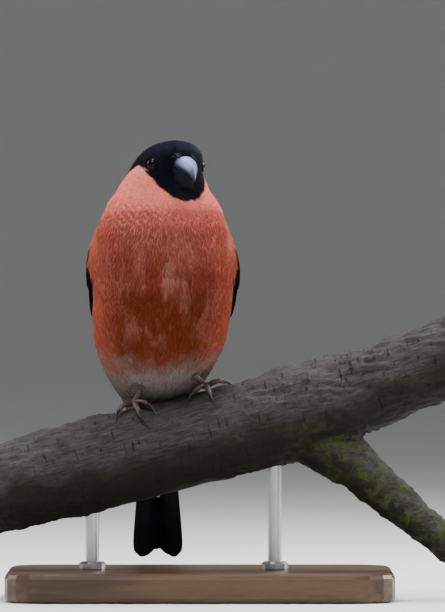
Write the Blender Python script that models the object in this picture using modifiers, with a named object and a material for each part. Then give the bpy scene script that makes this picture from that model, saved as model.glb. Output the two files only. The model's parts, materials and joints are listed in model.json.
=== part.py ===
"""Male Eurasian bullfinch perched on a cut length of forked branch, held by a plain display stand.

Sizes are millimetres in this file and become metres where a mesh is made. The bird is measured
from the top of the perch under its body: x to the bird's left, y to its back, z up. PERCH_TOP
puts that point in the model's frame, whose origin is the centre of the base's underside.
"""
import math
import random

import bmesh
import bpy
from mathutils import Matrix, Vector

# Driving dimensions, in millimetres and degrees
MM = 0.001
GAP = 0.3
CUT_GAP = 0.3
PERCH_TOP = Vector((-12.6, -5.0, 68.0))

BODY_SIDES = 32
BODY_TOP = 88.5
BODY_END = -12.0
BODY_ROW_STEP = 3.1

HEAD_CENTRE = Vector((2.4, -7.6, 78.0))
HEAD_YAW = 28.0
HEAD_PITCH = 9.5

EYE_RADIUS = 2.5
EYE_PROUD = 0.85
EYE_SIDE_ANGLE = 61.0
EYE_RISE_ANGLE = 15.0
LID_RADIUS = 2.5
LID_THICKNESS = 0.38
LID_SINK = 0.05

TAIL_ROOT = Vector((-2.1, 19.5, -1.0))
TAIL_LEAN = 20.0
TAIL_LENGTH = 57.2
TAIL_HALF_WIDTH = 8.85
TAIL_PAIRS = 6
TAIL_FEATHER_WIDTH = 5.4
TAIL_NOTCH = 2.0
TAIL_ARCH = 0.018
TAIL_LAYER = 0.57
TAIL_TOP_LEVEL = 1.3
TAIL_SECOND_ACROSS = 2.75
TAIL_CORNER = 1.4
TAIL_COVERT_SPREAD = 4.2
TAIL_COVERT_WIDTH = 5.2

VANE_THICKNESS = 0.5

TARSUS_RADIUS = 0.95
TOE_RADIUS = 0.85
TOE_STAND = 1.4
TOE_STEPS = 6
ANKLE_RISE = 1.35
CLAW_ROOT_RADIUS = 0.56
CLAW_ARCH = 0.42
CLAW_TIP_STAND = 0.55
CLAW_STEPS = 5

BRANCH_SIDES = 18
BRANCH_LEFT = -61.5
BRANCH_RIGHT = 102.0
SHOOT_SIDES = 14

BASE_SIZE = Vector((132.0, 86.0, 10.0))
BASE_CORNER = 14.0
BASE_EDGE = 1.8
ROD_RADIUS = 2.3
ROD_COLLAR_RADIUS = 4.6
ROD_COLLAR_HEIGHT = 2.6
ROD_LEFT_X = -36.7
ROD_RIGHT_X = 25.5

# Horizontal sections of head, neck and body: height, centre x, half width, y of the widest
# line, y of the front, y of the back. The last rows are the root of the tail.
SECTIONS = (
    (88.5, 4.3, 0.5, -8.5, -9.0, -8.0),
    (88.1, 4.2, 3.3, -8.5, -12.3, -5.2),
    (87.0, 3.8, 6.7, -8.3, -15.4, -2.0),
    (85.5, 3.3, 8.9, -8.2, -17.4, 0.2),
    (83.5, 2.8, 10.7, -8.0, -18.9, 2.2),
    (81.5, 2.1, 11.7, -7.8, -19.6, 3.6),
    (79.0, 1.3, 12.4, -7.6, -19.9, 4.8),
    (76.5, 0.7, 13.3, -7.4, -19.6, 5.8),
    (74.0, 0.3, 14.6, -7.0, -19.3, 6.8),
    (71.5, 0.1, 15.9, -6.6, -19.4, 7.8),
    (69.0, 0.0, 17.7, -6.2, -20.4, 8.8),
    (66.5, 0.1, 19.2, -6.0, -22.1, 10.0),
    (64.4, 0.0, 20.2, -5.8, -23.4, 11.0),
    (62.4, -0.1, 20.9, -5.6, -24.6, 12.0),
    (60.3, -0.2, 21.8, -5.3, -25.8, 13.2),
    (57.0, -0.3, 23.1, -4.9, -27.5, 15.0),
    (52.0, -0.2, 24.2, -4.2, -28.7, 17.3),
    (44.0, 0.0, 24.5, -3.0, -29.3, 20.2),
    (36.0, -0.1, 24.2, -1.2, -28.6, 22.8),
    (28.0, -0.6, 23.8, 1.0, -26.2, 25.0),
    (20.0, -1.1, 22.6, 4.2, -21.6, 26.6),
    (13.0, -1.7, 20.2, 8.0, -14.8, 27.4),
    (7.0, -2.0, 17.2, 11.4, -8.0, 27.8),
    (3.0, -2.0, 14.8, 13.6, -2.5, 28.0),
    (0.0, -2.0, 12.7, 15.3, 2.0, 28.2),
    (-4.0, -2.0, 11.0, 17.4, 7.5, 28.5),
    (-12.0, -2.1, 9.4, 20.5, 14.5, 29.8),
    (-20.0, -2.2, 8.8, 23.4, 18.5, 31.8),
)

# Planes that part the body into head, neck, torso and belly: height at the front (y = -20),
# height at the back (y = 20)
HEAD_CUT = (66.8, 77.0)
NECK_CUT = (56.5, 69.5)
BELLY_CUT = (24.0, 38.0)

# Bill profile in the head's own frame: distance forward of the head centre, height, half width
CULMEN = ((9.0, 6.9), (11.5, 6.5), (13.6, 5.7), (15.6, 4.3), (17.2, 2.6), (18.4, 0.8))
TOMIUM = ((9.0, 3.4), (11.5, 2.9), (13.6, 2.3), (15.6, 1.5), (17.2, 0.8), (18.4, 0.0))
CHIN = ((9.0, -4.6), (11.5, -4.4), (13.4, -3.4), (15.0, -1.9), (16.4, -0.1))
BILL_HALF_WIDTH = ((9.0, 4.6), (11.5, 4.3), (13.6, 3.7), (15.6, 2.6), (17.2, 1.4), (18.4, 0.35))
CHIN_HALF_WIDTH = ((9.0, 4.7), (11.5, 4.3), (13.4, 3.5), (15.0, 2.4), (16.4, 0.9))
NOSTRIL_PLACE = (13.0, 4.6, 2.1)
NOSTRIL_RADIUS = 0.55

# Main branch: distance along x, height of its axis, radius. Side shoot: x, y, z, radius.
BRANCH_AXIS = (
    (-72.0, -34.2, 14.8),
    (-60.0, -31.2, 15.0),
    (-35.0, -25.0, 15.5),
    (-10.2, -18.9, 15.8),
    (5.8, -14.9, 15.2),
    (29.6, -8.8, 15.6),
    (46.0, -4.2, 15.8),
    (60.2, 0.7, 14.8),
    (73.8, 5.3, 13.8),
    (87.4, 10.7, 12.9),
    (97.0, 14.6, 13.0),
    (108.0, 19.2, 13.0),
)
SHOOT_AXIS = (
    (47.0, -1.0, -9.0, 11.5),
    (55.0, -2.0, -14.5, 10.4),
    (63.6, -3.0, -20.9, 8.7),
    (75.5, -4.0, -31.3, 7.1),
    (86.5, -4.5, -40.4, 6.2),
    (101.0, -5.0, -52.6, 5.4),
)

# Feather tiers of a folded wing. Each row: name, number of feathers, root of the first and of
# the last (height, angle round the body from the side towards the back), tips of the same two,
# width of the first and the last, lift over the body, how far the leading edge stands up.
WING_TIERS = (
    ("primary", 5, (45, 8), (43, 22), (-15, 60), (0, 74), 4.4, 4.8, 0.0, 1.2),
    ("secondary", 4, (44, 28), (46, 46), (5, 74), (11, 82), 5.0, 5.4, 0.1, 1.1),
    ("tertial", 3, (47, 50), (50, 60), (19, 76), (29, 84), 6.0, 6.2, 0.3, 1.2),
    ("primary_covert", 3, (49, -2), (47, 8), (28, 20), (31, 30), 4.2, 4.2, 1.2, 0.8),
    ("greater_covert", 6, (50, 6), (53, 56), (35, 26), (37, 74), 6.2, 6.4, 1.5, 0.9),
    ("median_covert", 5, (55, 2), (58, 50), (45, 10), (48, 62), 7.2, 7.4, 1.8, 0.8),
    ("alula", 2, (54, -6), (51, -3), (41, 6), (38, 10), 3.2, 3.2, 1.4, 0.6),
)
# Core of the tail: distance along the tail, half width, half depth, dorsal place of its middle.
# Covert tiers of the tail: start and end along it, level at root and at tip, number of feathers.
TAIL_CORE_ROWS = ((CUT_GAP, 8.8, 7.0, 0.8), (6.0, 7.6, 5.6, 0.3), (14.0, 6.6, 3.8, -0.3),
                  (21.0, 5.8, 2.2, -0.5))
TAIL_COVERT_TIERS = ((8, 28, 1.0, 2.6, 4), (4, 20, 3.2, 3.8, 3), (8, 33, -2.6, -3.6, 4),
                     (4, 23, -4.0, -4.8, 3))
WING_CORE_ROWS = ((60.0, 10, 38), (57.5, -4, 50), (53.0, -8, 58), (47.0, -2, 64), (40.0, 9, 68),
                  (34.0, 22, 66))
WING_CORE_THICKNESS = 1.6
# Floor that the wing lies on, by height: its distance from the body's form, below nought where
# the wing is bedded in the plumage
WING_FLOOR = ((-20, 1.15), (4, 1.15), (19, -0.3), (46, -0.5), (54, -1.5), (64, -2.1))
WING_BED_ROWS = ((63.5, 6, 42), (61.0, -13, 54), (54.0, -20, 66), (47.0, -16, 76), (40.0, -8, 84),
                 (30.0, 3, 93), (22.0, 13, 98), (14.0, 21, 98), (6.0, 29, 98))
WING_BED_GAP = 0.5
WING_SEED = 49
WING_EDGE_LIFT = 0.5

# Front toes and hind toe: shift along the branch at the claw's root and at its tip, angle over
# the branch at the same two, where 0 is the top and positive is the front
TOES = {
    "left": {
        "pad": (19.0, 9.0),
        "hallux": ((0.6, 0.4), (-38, -54)),
        "inner": ((-4.6, -8.2), (24, 37)),
        "middle": ((0.4, 1.4), (36, 54)),
        "outer": ((5.6, 9.4), (18, 30)),
    },
    "right": {
        "pad": (-5.7, 9.0),
        "hallux": ((-0.6, -0.4), (-38, -54)),
        "inner": ((4.2, 6.0), (26, 42)),
        "middle": ((0.9, 3.2), (38, 62)),
        "outer": ((-5.2, -7.2), (26, 40)),
    },
}
THIGH_TOP = {"left": Vector((8.0, 3.6, 15.4)), "right": Vector((-7.4, 3.4, 11.0))}
THIGH_END = {"left": Vector((11.0, -3.0, 8.2)), "right": Vector((-7.9, -2.8, 3.2))}
THIGH_RADII = (3.2, 4.4, 4.0, 1.5)

# Looks of the solids: colour, roughness, metallic value
CAP_BLACK = ("cap_black", (0.012, 0.014, 0.03), 0.35, 0.0)
BREAST_RED = ("breast_red", (0.6, 0.16, 0.11), 0.85, 0.0)
BELLY_WHITE = ("belly_white", (0.62, 0.55, 0.52), 0.85, 0.0)
BILL_HORN = ("bill_horn", (0.05, 0.055, 0.08), 0.3, 0.0)
EYE_BLACK = ("eye_black", (0.01, 0.006, 0.005), 0.05, 0.0)
WING_BLACK = ("wing_black", (0.015, 0.016, 0.026), 0.4, 0.0)
LEG_BROWN = ("leg_brown", (0.28, 0.12, 0.08), 0.5, 0.0)
CLAW_BLACK = ("claw_black", (0.02, 0.018, 0.018), 0.35, 0.0)
BARK_GREY = ("bark_grey", (0.1, 0.09, 0.08), 0.9, 0.0)
BASE_WOOD = ("base_wood", (0.16, 0.08, 0.04), 0.45, 0.0)
ROD_STEEL = ("rod_steel", (0.55, 0.55, 0.55), 0.3, 1.0)


# General helpers
def clear_scene():
    for item in list(bpy.data.objects):
        bpy.data.objects.remove(item, do_unlink=True)


def lerp(a, b, t):
    return a + (b - a) * t


def smooth_table(rows, key):
    """Reads a table of rows at any key, the first column, through a smooth curve."""
    ordered = sorted(rows)
    last = len(ordered) - 1
    key = min(max(key, ordered[0][0]), ordered[last][0])
    i = next(n for n in range(last) if key <= ordered[n + 1][0])
    low, high = ordered[i], ordered[i + 1]
    span = high[0] - low[0]
    t = (key - low[0]) / span
    before = ordered[i - 1] if i > 0 else low
    after = ordered[i + 2] if i + 2 <= last else high
    values = []
    for column in range(1, len(low)):
        slope_low = (high[column] - before[column]) / (high[0] - before[0]) * span
        slope_high = (after[column] - low[column]) / (after[0] - low[0]) * span
        rise = high[column] - low[column]
        curve_a = slope_low - rise
        curve_b = rise - slope_high
        values.append(low[column] + rise * t + t * (1 - t) * (curve_a * (1 - t) + curve_b * t))
    return values


def material(look):
    name, colour, roughness, metallic = look
    found = bpy.data.materials.get(name)
    if found:
        return found
    made = bpy.data.materials.new(name)
    made.use_nodes = True
    shader = made.node_tree.nodes["Principled BSDF"]
    shader.inputs["Base Color"].default_value = (*colour, 1)
    shader.inputs["Roughness"].default_value = roughness
    shader.inputs["Metallic"].default_value = metallic
    return made


def new_object(name, mesh, collection=None):
    made = bpy.data.objects.new(name, mesh)
    (collection or bpy.context.scene.collection).objects.link(made)
    return made


def mesh_from_bmesh(name, bm):
    bmesh.ops.recalc_face_normals(bm, faces=bm.faces)
    mesh = bpy.data.meshes.new(name)
    bm.to_mesh(mesh)
    bm.free()
    return mesh


def loft(name, rings, thin=False, pole_start=False, pole_end=False):
    """Closed skin over rings of equal count. A thin loft has its first half of each ring over
    its second half, and both halves are split into triangles along the same diagonals."""
    bm = bmesh.new()
    rows = [[bm.verts.new((PERCH_TOP + p) * MM) for p in ring] for ring in rings]
    count = len(rings[0])
    for near, far in zip(rows, rows[1:]):
        for j in range(count):
            k = (j + 1) % count
            if not thin:
                bm.faces.new((near[j], near[k], far[k], far[j]))
            elif j < count // 2:
                bm.faces.new((near[j], near[k], far[k]))
                bm.faces.new((near[j], far[k], far[j]))
            else:
                bm.faces.new((near[j], near[k], far[j]))
                bm.faces.new((near[k], far[k], far[j]))
    for row, pole in ((rows[0], pole_start), (rows[-1], pole_end)):
        if pole:
            centre = bm.verts.new(sum((v.co for v in row), Vector()) / count)
            for j in range(count):
                bm.faces.new((row[j], row[(j + 1) % count], centre))
        elif thin:
            for j in range(count // 2 - 1):
                quad = (row[j], row[j + 1], row[count - 2 - j], row[count - 1 - j])
                bm.faces.new(quad)
        else:
            bm.faces.new(row)
    return mesh_from_bmesh(name, bm)


def tube(name, points, radii, sides=8, flatten=1.0):
    """Round, tapered tube through points, with flat ends."""
    rings = []
    side = Vector((1, 0, 0))
    for i, point in enumerate(points):
        ahead = points[min(i + 1, len(points) - 1)] - points[max(i - 1, 0)]
        ahead.normalize()
        side = (side - ahead * side.dot(ahead)).normalized()
        up = ahead.cross(side)
        ring = []
        for j in range(sides):
            angle = 2 * math.pi * (j + 0.5) / sides
            offset = side * math.cos(angle) + up * math.sin(angle) * flatten
            ring.append(point + offset * radii[i])
        rings.append(ring)
    return loft(name, rings)


def apply_modifiers(item):
    graph = bpy.context.evaluated_depsgraph_get()
    graph.update()
    mesh = bpy.data.meshes.new_from_object(item.evaluated_get(graph))
    item.modifiers.clear()
    item.data = mesh


def drop(items):
    for item in list(items):
        bpy.data.objects.remove(item, do_unlink=True)


def join_all(item, others, solver="EXACT"):
    """Unites an object with a list of closed objects and removes them."""
    group = bpy.data.collections.new("joined_pieces")
    bpy.context.scene.collection.children.link(group)
    for other in others:
        bpy.context.scene.collection.objects.unlink(other)
        group.objects.link(other)
    union = item.modifiers.new("union", "BOOLEAN")
    union.operand_type = "COLLECTION"
    union.collection = group
    union.operation = "UNION"
    union.solver = solver
    apply_modifiers(item)
    drop(group.objects)
    bpy.data.collections.remove(group)


def cut(item, cutter, solver="EXACT"):
    difference = item.modifiers.new("difference", "BOOLEAN")
    difference.object = cutter
    difference.operation = "DIFFERENCE"
    difference.solver = solver
    apply_modifiers(item)


def signed_volume(faces):
    total = 0.0
    for face in faces:
        first = face.verts[0].co
        for a, b in zip(face.verts[1:], face.verts[2:]):
            total += first.dot(a.co.cross(b.co)) / 6
    return total


def keep_largest(item):
    """Leaves only the largest closed surface, and triangles only."""
    bm = bmesh.new()
    bm.from_mesh(item.data)
    bmesh.ops.triangulate(bm, faces=bm.faces)
    left = set(bm.faces)
    islands = []
    while left:
        todo = [left.pop()]
        island = list(todo)
        while todo:
            face = todo.pop()
            for edge in face.edges:
                for other in edge.link_faces:
                    if other in left:
                        left.remove(other)
                        island.append(other)
                        todo.append(other)
        islands.append(island)
    islands.sort(key=signed_volume, reverse=True)
    scraps = [face for island in islands[1:] for face in island]
    bmesh.ops.delete(bm, geom=scraps, context="FACES")
    loose = [v for v in bm.verts if not v.link_faces]
    bmesh.ops.delete(bm, geom=loose, context="VERTS")
    bm.to_mesh(item.data)
    bm.free()


def keep_side(item, plane_point, plane_normal):
    """Cuts an object by a plane, keeps what lies behind it and closes the cut."""
    bm = bmesh.new()
    bm.from_mesh(item.data)
    everything = bm.verts[:] + bm.edges[:] + bm.faces[:]
    result = bmesh.ops.bisect_plane(
        bm, geom=everything, dist=0.001 * MM, plane_co=(PERCH_TOP + plane_point) * MM,
        plane_no=plane_normal, clear_outer=True)
    rim = [e for e in result["geom_cut"] if isinstance(e, bmesh.types.BMEdge)]
    bmesh.ops.holes_fill(bm, edges=rim, sides=0)
    bmesh.ops.recalc_face_normals(bm, faces=bm.faces)
    bm.to_mesh(item.data)
    bm.free()


def finish_node(item, look, smooth_angle=35.0):
    item.data.materials.clear()
    item.data.materials.append(material(look))
    item.data.shade_smooth()
    item.data.set_sharp_from_angle(angle=math.radians(smooth_angle))


# The smooth form of head, neck and body
def section_at(z):
    centre, half, widest, front, back = smooth_table(SECTIONS, z)
    return centre, half, widest, widest - front, back - widest


def body_point(z, angle, lift=0.0):
    """Point of the body's form at a height and an angle from the bird's left side towards its
    back, lifted along the section's own normal."""
    centre, half, widest, front, back = section_at(z)
    depth = back if math.sin(angle) > 0 else front
    normal = Vector((math.cos(angle) / half, math.sin(angle) / depth, 0)).normalized()
    point = Vector((centre + half * math.cos(angle), widest + depth * math.sin(angle), z))
    return point + normal * lift


def snap_to_body(point, lift):
    """Moves a point level, to stand a given distance off the body's form."""
    centre, half, widest, front, back = section_at(point.z)
    depth = back if point.y > widest else front
    angle = math.atan2((point.y - widest) / depth, (point.x - centre) / half)
    return body_point(point.z, angle, lift)


def inside_body(point):
    centre, half, widest, front, back = section_at(point.z)
    depth = back if point.y > widest else front
    return ((point.x - centre) / half) ** 2 + ((point.y - widest) / depth) ** 2 < 1


def reach_surface(start, direction):
    near, far = 0.0, 30.0
    while far - near > 0.01:
        middle = (near + far) / 2
        if inside_body(start + direction * middle):
            near = middle
        else:
            far = middle
    return start + direction * near


def body_heights():
    crown = [BODY_TOP, 88.2, 87.6, 86.5, 85.0, 83.2, 81.2, 79.0, 76.6, 74.2, 71.8, 69.2, 66.8,
             64.6, 62.9, 61.2]
    heights = list(crown)
    while heights[-1] - BODY_ROW_STEP > BODY_END:
        heights.append(heights[-1] - BODY_ROW_STEP)
    return heights


def body_object(name, inflate=0.0):
    rings = []
    for z in body_heights():
        ring = [body_point(z, 2 * math.pi * j / BODY_SIDES, inflate) for j in range(BODY_SIDES)]
        if inflate:
            ring = [p + Vector((0, 0, inflate if z > HEAD_CENTRE.z + 5 else 0)) for p in ring]
        rings.append(ring)
    return new_object(name, loft(name, rings, pole_start=True))


def slanted_plane(cut_heights, shift=0.0):
    """Point and upward normal of a plane given by its heights at y = -20 and y = 20."""
    front, back = cut_heights
    along = Vector((0, 40.0, back - front)).normalized()
    normal = Vector((1, 0, 0)).cross(along)
    return Vector((0, 0, (front + back) / 2)) + normal * shift, normal


def body_slice(name, upper, lower):
    """One length of the body between two slanted planes, each None at an end."""
    item = body_object(name)
    if upper:
        point, normal = slanted_plane(upper, -CUT_GAP / 2)
        keep_side(item, point, normal)
    if lower:
        point, normal = slanted_plane(lower, CUT_GAP / 2)
        keep_side(item, point, -normal)
    return item


# Head with lids and sockets, eyes and bill
def head_axes():
    """Forward, left and up directions of the turned head."""
    yaw = math.radians(HEAD_YAW)
    pitch = math.radians(HEAD_PITCH)
    left = Vector((math.cos(yaw), math.sin(yaw), 0))
    level = Vector((math.sin(yaw), -math.cos(yaw), 0))
    forward = level * math.cos(pitch) - Vector((0, 0, math.sin(pitch)))
    return forward, left, forward.cross(left)


def head_point(forward_by, up_by, left_by=0.0):
    forward, left, up = head_axes()
    return HEAD_CENTRE + forward * forward_by + up * up_by + left * left_by


def eye_axis(side):
    forward, left, up = head_axes()
    turn = math.radians(EYE_SIDE_ANGLE)
    rise = math.radians(EYE_RISE_ANGLE)
    level = forward * math.cos(turn) + left * side * math.sin(turn)
    return (level * math.cos(rise) + up * math.sin(rise)).normalized()


def sphere(name, centre, radius, segments=20, rings=12, axis=None):
    bm = bmesh.new()
    turn = axis.to_track_quat("Z", "Y").to_matrix().to_4x4() if axis else Matrix()
    place = Matrix.Translation((PERCH_TOP + centre) * MM) @ turn
    bmesh.ops.create_uvsphere(bm, u_segments=segments, v_segments=rings, radius=radius * MM,
                              matrix=place)
    return new_object(name, mesh_from_bmesh(name, bm))


def lid_ring(name, centre, axis):
    rings = []
    across = axis.orthogonal().normalized()
    upward = axis.cross(across)
    for i in range(16):
        angle = 2 * math.pi * i / 16
        out = across * math.cos(angle) + upward * math.sin(angle)
        ring = []
        for j in range(6):
            turn = 2 * math.pi * j / 6
            offset = out * math.cos(turn) + axis * math.sin(turn)
            ring.append(centre + out * LID_RADIUS + offset * LID_THICKNESS)
        rings.append(ring)
    bm = bmesh.new()
    rows = [[bm.verts.new((PERCH_TOP + p) * MM) for p in ring] for ring in rings]
    for near, far in zip(rows, rows[1:] + rows[:1]):
        for j in range(6):
            k = (j + 1) % 6
            bm.faces.new((near[j], near[k], far[k], far[j]))
    return new_object(name, mesh_from_bmesh(name, bm))


def make_head():
    head = body_slice("head", None, HEAD_CUT)
    lids = []
    sockets = []
    for label, side in (("left", 1), ("right", -1)):
        axis = eye_axis(side)
        surface = reach_surface(HEAD_CENTRE, axis)
        ball_centre = surface - axis * (EYE_RADIUS - EYE_PROUD)
        lids.append(lid_ring("lid", surface - axis * LID_SINK, axis))
        sockets.append(sphere("socket", ball_centre, EYE_RADIUS + GAP, 16, 10, axis))
        eye = sphere("eye_" + label, ball_centre, EYE_RADIUS, 16, 10, axis)
        finish_node(eye, EYE_BLACK)
    join_all(head, lids, "MANIFOLD")
    for socket in sockets:
        cut(head, socket, "MANIFOLD")
    drop(sockets)
    keep_largest(head)
    finish_node(head, CAP_BLACK)


def bill_rings(top_rows, bottom_rows, width_rows, lift):
    """Rings of a mandible: an arch of 11 points over a straight lower edge of 3."""
    rings = []
    for forward_by, _ in top_rows:
        top = smooth_table(top_rows, forward_by)[0]
        bottom = smooth_table(bottom_rows, forward_by)[0] + lift
        half = smooth_table(width_rows, forward_by)[0]
        ring = []
        for j in range(11):
            angle = math.pi * j / 10
            rise = math.sin(angle) ** 0.9
            ring.append(head_point(forward_by, lerp(bottom, top, rise), half * math.cos(angle)))
        for j in (-0.5, 0.0, 0.5):
            ring.append(head_point(forward_by, bottom, half * j))
        rings.append(ring)
    return rings


def make_bill():
    hull = body_object("head_hull", GAP)
    upper_rows = bill_rings(CULMEN, TOMIUM, BILL_HALF_WIDTH, 0.0)
    upper = new_object("bill_upper", loft("bill_upper", upper_rows))
    nostrils = []
    forward_by, up_by, side_by = NOSTRIL_PLACE
    for side in (1, -1):
        place = head_point(forward_by, up_by, side * side_by)
        nostrils.append(sphere("nostril", place, NOSTRIL_RADIUS, 8, 6))
    lower_rows = bill_rings(CHIN, TOMIUM, CHIN_HALF_WIDTH, -GAP - 0.1)
    lower = new_object("bill_lower", loft("bill_lower", lower_rows))
    for nostril in nostrils:
        cut(upper, nostril)
    for item in (upper, lower):
        cut(item, hull)
        keep_largest(item)
        finish_node(item, BILL_HORN)
    drop([hull] + nostrils)


# Feathers
def vane_rings(stations, width, thickness, place):
    """Rings of a flat tapered vane. place(share, across, height) gives a point, with share from
    root to tip, across in millimetres to the leading side, and height over the lower face."""
    rings = []
    for share, fullness in stations:
        half = width * fullness / 2
        deep = thickness * (0.75 if share > 0.98 else 1.0)
        rings.append([
            place(share, half, deep),
            place(share, -half, deep),
            place(share, -half, 0.0),
            place(share, half, 0.0),
        ])
    return rings


LONG_VANE = ((0.0, 0.55), (0.2, 0.85), (0.4, 1.0), (0.6, 1.0), (0.8, 0.94), (0.93, 0.7), (1.0, 0.3))
TAIL_VANE = ((0.0, 0.6), (0.35, 0.85), (0.7, 1.0), (0.93, 1.0), (0.985, 0.78), (1.0, 0.42))
SHORT_VANE = ((0.0, 0.7), (0.4, 1.0), (0.75, 0.95), (0.93, 0.65), (1.0, 0.3))


def wing_floor(z):
    return smooth_table(WING_FLOOR, z)[0]


def mirror_point(point, side):
    """The bird's left wing as it is, or its right wing, mirrored about the body's middle."""
    if side < 0:
        point.x = 2 * section_at(point.z)[0] - point.x
    return point


def wing_vane(name, side, root, tip, width, lift, stand, stations):
    """Vane that follows the body's form from root to tip, each a height and an angle."""
    def centre(share, off=0.0):
        angle = math.radians(lerp(root[1], tip[1], share))
        return body_point(lerp(root[0], tip[0], share), angle, off)

    def place(share, across, height):
        here = centre(share)
        ahead = (centre(share + 0.02) - centre(share - 0.02)).normalized()
        leading = ahead.cross(centre(share, 1.0) - here).normalized()
        if leading.y > 0:
            leading = -leading
        reach = here + leading * across
        shift = wing_floor(reach.z) + lift + stand * (0.5 + across / width)
        return mirror_point(snap_to_body(reach, shift + height), side)

    rings = vane_rings(stations, width, VANE_THICKNESS, place)
    return new_object(name, loft(name, rings, thin=True))


def wing_shell(name, side, rows, lower, upper):
    """Curved plate between two lifts over the body; each lift is a function of the height and
    of the share across the wing."""
    rings = []
    columns = 9
    for z, first, last in rows:
        outer, inner = [], []
        for j in range(columns):
            share = j / (columns - 1)
            angle = math.radians(lerp(first, last, share))
            outer.append(mirror_point(body_point(z, angle, upper(z, share)), side))
            inner.append(mirror_point(body_point(z, angle, lower(z, share)), side))
        rings.append(outer + inner[::-1])
    return new_object(name, loft(name, rings, thin=True))


def wing_core(name, side):
    """Arm and hand of the wing, in which the feathers root."""
    ends = (WING_CORE_ROWS[0][0], WING_CORE_ROWS[-1][0])

    def crown(z, share):
        dome = math.sqrt(1 - (2 * share - 1) ** 2) * (0.4 if z in ends else 1.0)
        return wing_floor(z) + 0.3 + WING_CORE_THICKNESS * dome

    return wing_shell(name, side, WING_CORE_ROWS, lambda z, share: wing_floor(z), crown)


def wing_bed(side):
    """Hollow of the plumage that a folded wing lies in."""
    return wing_shell("wing_bed", side, WING_BED_ROWS,
                      lambda z, share: wing_floor(z) - WING_BED_GAP, lambda z, share: 8.0)


def bed_wings(item):
    for side in (1, -1):
        bed = wing_bed(side)
        cut(item, bed, "MANIFOLD")
        drop([bed])
    keep_largest(item)


def make_wing(label, side):
    random.seed(WING_SEED)
    core = wing_core("wing_" + label, side)
    vanes = []
    for name, count, root_a, root_b, tip_a, tip_b, wide_a, wide_b, lift, stand in WING_TIERS:
        stations = LONG_VANE if name in ("primary", "secondary", "tertial") else SHORT_VANE
        for i in range(count):
            t = i / (count - 1)
            root = (lerp(root_a[0], root_b[0], t), lerp(root_a[1], root_b[1], t))
            jitter = random.uniform(-0.4, 0.4)
            tip = (lerp(tip_a[0], tip_b[0], t) + jitter, lerp(tip_a[1], tip_b[1], t))
            width = lerp(wide_a, wide_b, t)
            low = lift * lerp(WING_EDGE_LIFT, 1.0, t) + random.uniform(-0.05, 0.05)
            vanes.append(wing_vane(name, side, root, tip, width, low, stand, stations))
    join_all(core, vanes, "MANIFOLD")
    keep_largest(core)
    finish_node(core, WING_BLACK)


def tail_axes():
    lean = math.radians(TAIL_LEAN)
    down = Vector((0, math.sin(lean), -math.cos(lean)))
    dorsal = Vector((0, math.cos(lean), math.sin(lean)))
    return down, dorsal, Vector((1, 0, 0))


def tail_point(along, across, dorsal_by):
    down, dorsal, left = tail_axes()
    return TAIL_ROOT + down * along + left * across + dorsal * dorsal_by


def tail_vane(name, root, tip, width, stations):
    """Vane of the tail. root and tip are distances along, across and dorsal of the tail's axis.
    The whole tail arches, so its outer edges lie lower than its middle."""
    def place(share, across, height):
        along = lerp(root[0], tip[0], share)
        sideways = lerp(root[1], tip[1], share) + across
        level = lerp(root[2], tip[2], share) - TAIL_ARCH * sideways ** 2
        return tail_point(along, sideways, level + height)

    return new_object(name, loft(name, vane_rings(stations, width, VANE_THICKNESS, place),
                                 thin=True))


def make_rectrices():
    vanes = []
    reach = TAIL_HALF_WIDTH - TAIL_FEATHER_WIDTH / 2
    for pair in range(TAIL_PAIRS):
        share = pair / (TAIL_PAIRS - 1)
        across = lerp(TAIL_SECOND_ACROSS, reach, (pair - 1) / (TAIL_PAIRS - 2)) if pair else 0.7
        short = TAIL_NOTCH * (1 - share) ** 2 + TAIL_CORNER * (pair == TAIL_PAIRS - 1)
        for side in (1, -1):
            split = TAIL_LAYER / 2 if pair == 0 else 0.04
            level = TAIL_TOP_LEVEL - TAIL_LAYER * pair + side * split
            root = (9.0, side * across * 0.5, level)
            tip = (TAIL_LENGTH - short, side * across, level)
            vanes.append(tail_vane("rectrix", root, tip, TAIL_FEATHER_WIDTH, TAIL_VANE))
    return vanes


def make_tail_coverts():
    vanes = []
    for start, end, root_level, tip_level, count in TAIL_COVERT_TIERS:
        for i in range(count):
            across = lerp(-TAIL_COVERT_SPREAD, TAIL_COVERT_SPREAD, i / (count - 1))
            step = TAIL_LAYER * (i % 2) * (1 if tip_level > 0 else -1)
            root = (start, across * 0.6, root_level)
            tip = (end - abs(across) * 0.6, across, tip_level + step)
            vanes.append(tail_vane("covert", root, tip, TAIL_COVERT_WIDTH, SHORT_VANE))
    return vanes


def make_tail():
    rings = []
    for along, half, deep, middle in TAIL_CORE_ROWS:
        ring = []
        for j in range(18):
            angle = 2 * math.pi * j / 18
            ring.append(tail_point(along, half * math.cos(angle), middle + deep * math.sin(angle)))
        rings.append(ring)
    core = new_object("tail", loft("tail", rings))
    join_all(core, make_rectrices() + make_tail_coverts(), "MANIFOLD")
    keep_largest(core)
    finish_node(core, WING_BLACK)


# Perch
def branch_axis_at(x):
    height, radius = smooth_table(BRANCH_AXIS, x)
    return Vector((x, 0, height)), radius


def branch_point(x, angle, lift=0.0):
    """Point over the bark: angle 0 is the top, positive towards the bird's front."""
    axis_here, radius = branch_axis_at(x)
    ahead = (branch_axis_at(x + 1)[0] - branch_axis_at(x - 1)[0]).normalized()
    front = Vector((0, -1, 0))
    up = ahead.cross(front)
    if up.z < 0:
        up = -up
    turn = math.radians(angle)
    return axis_here + (up * math.cos(turn) + front * math.sin(turn)) * (radius + lift)


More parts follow.
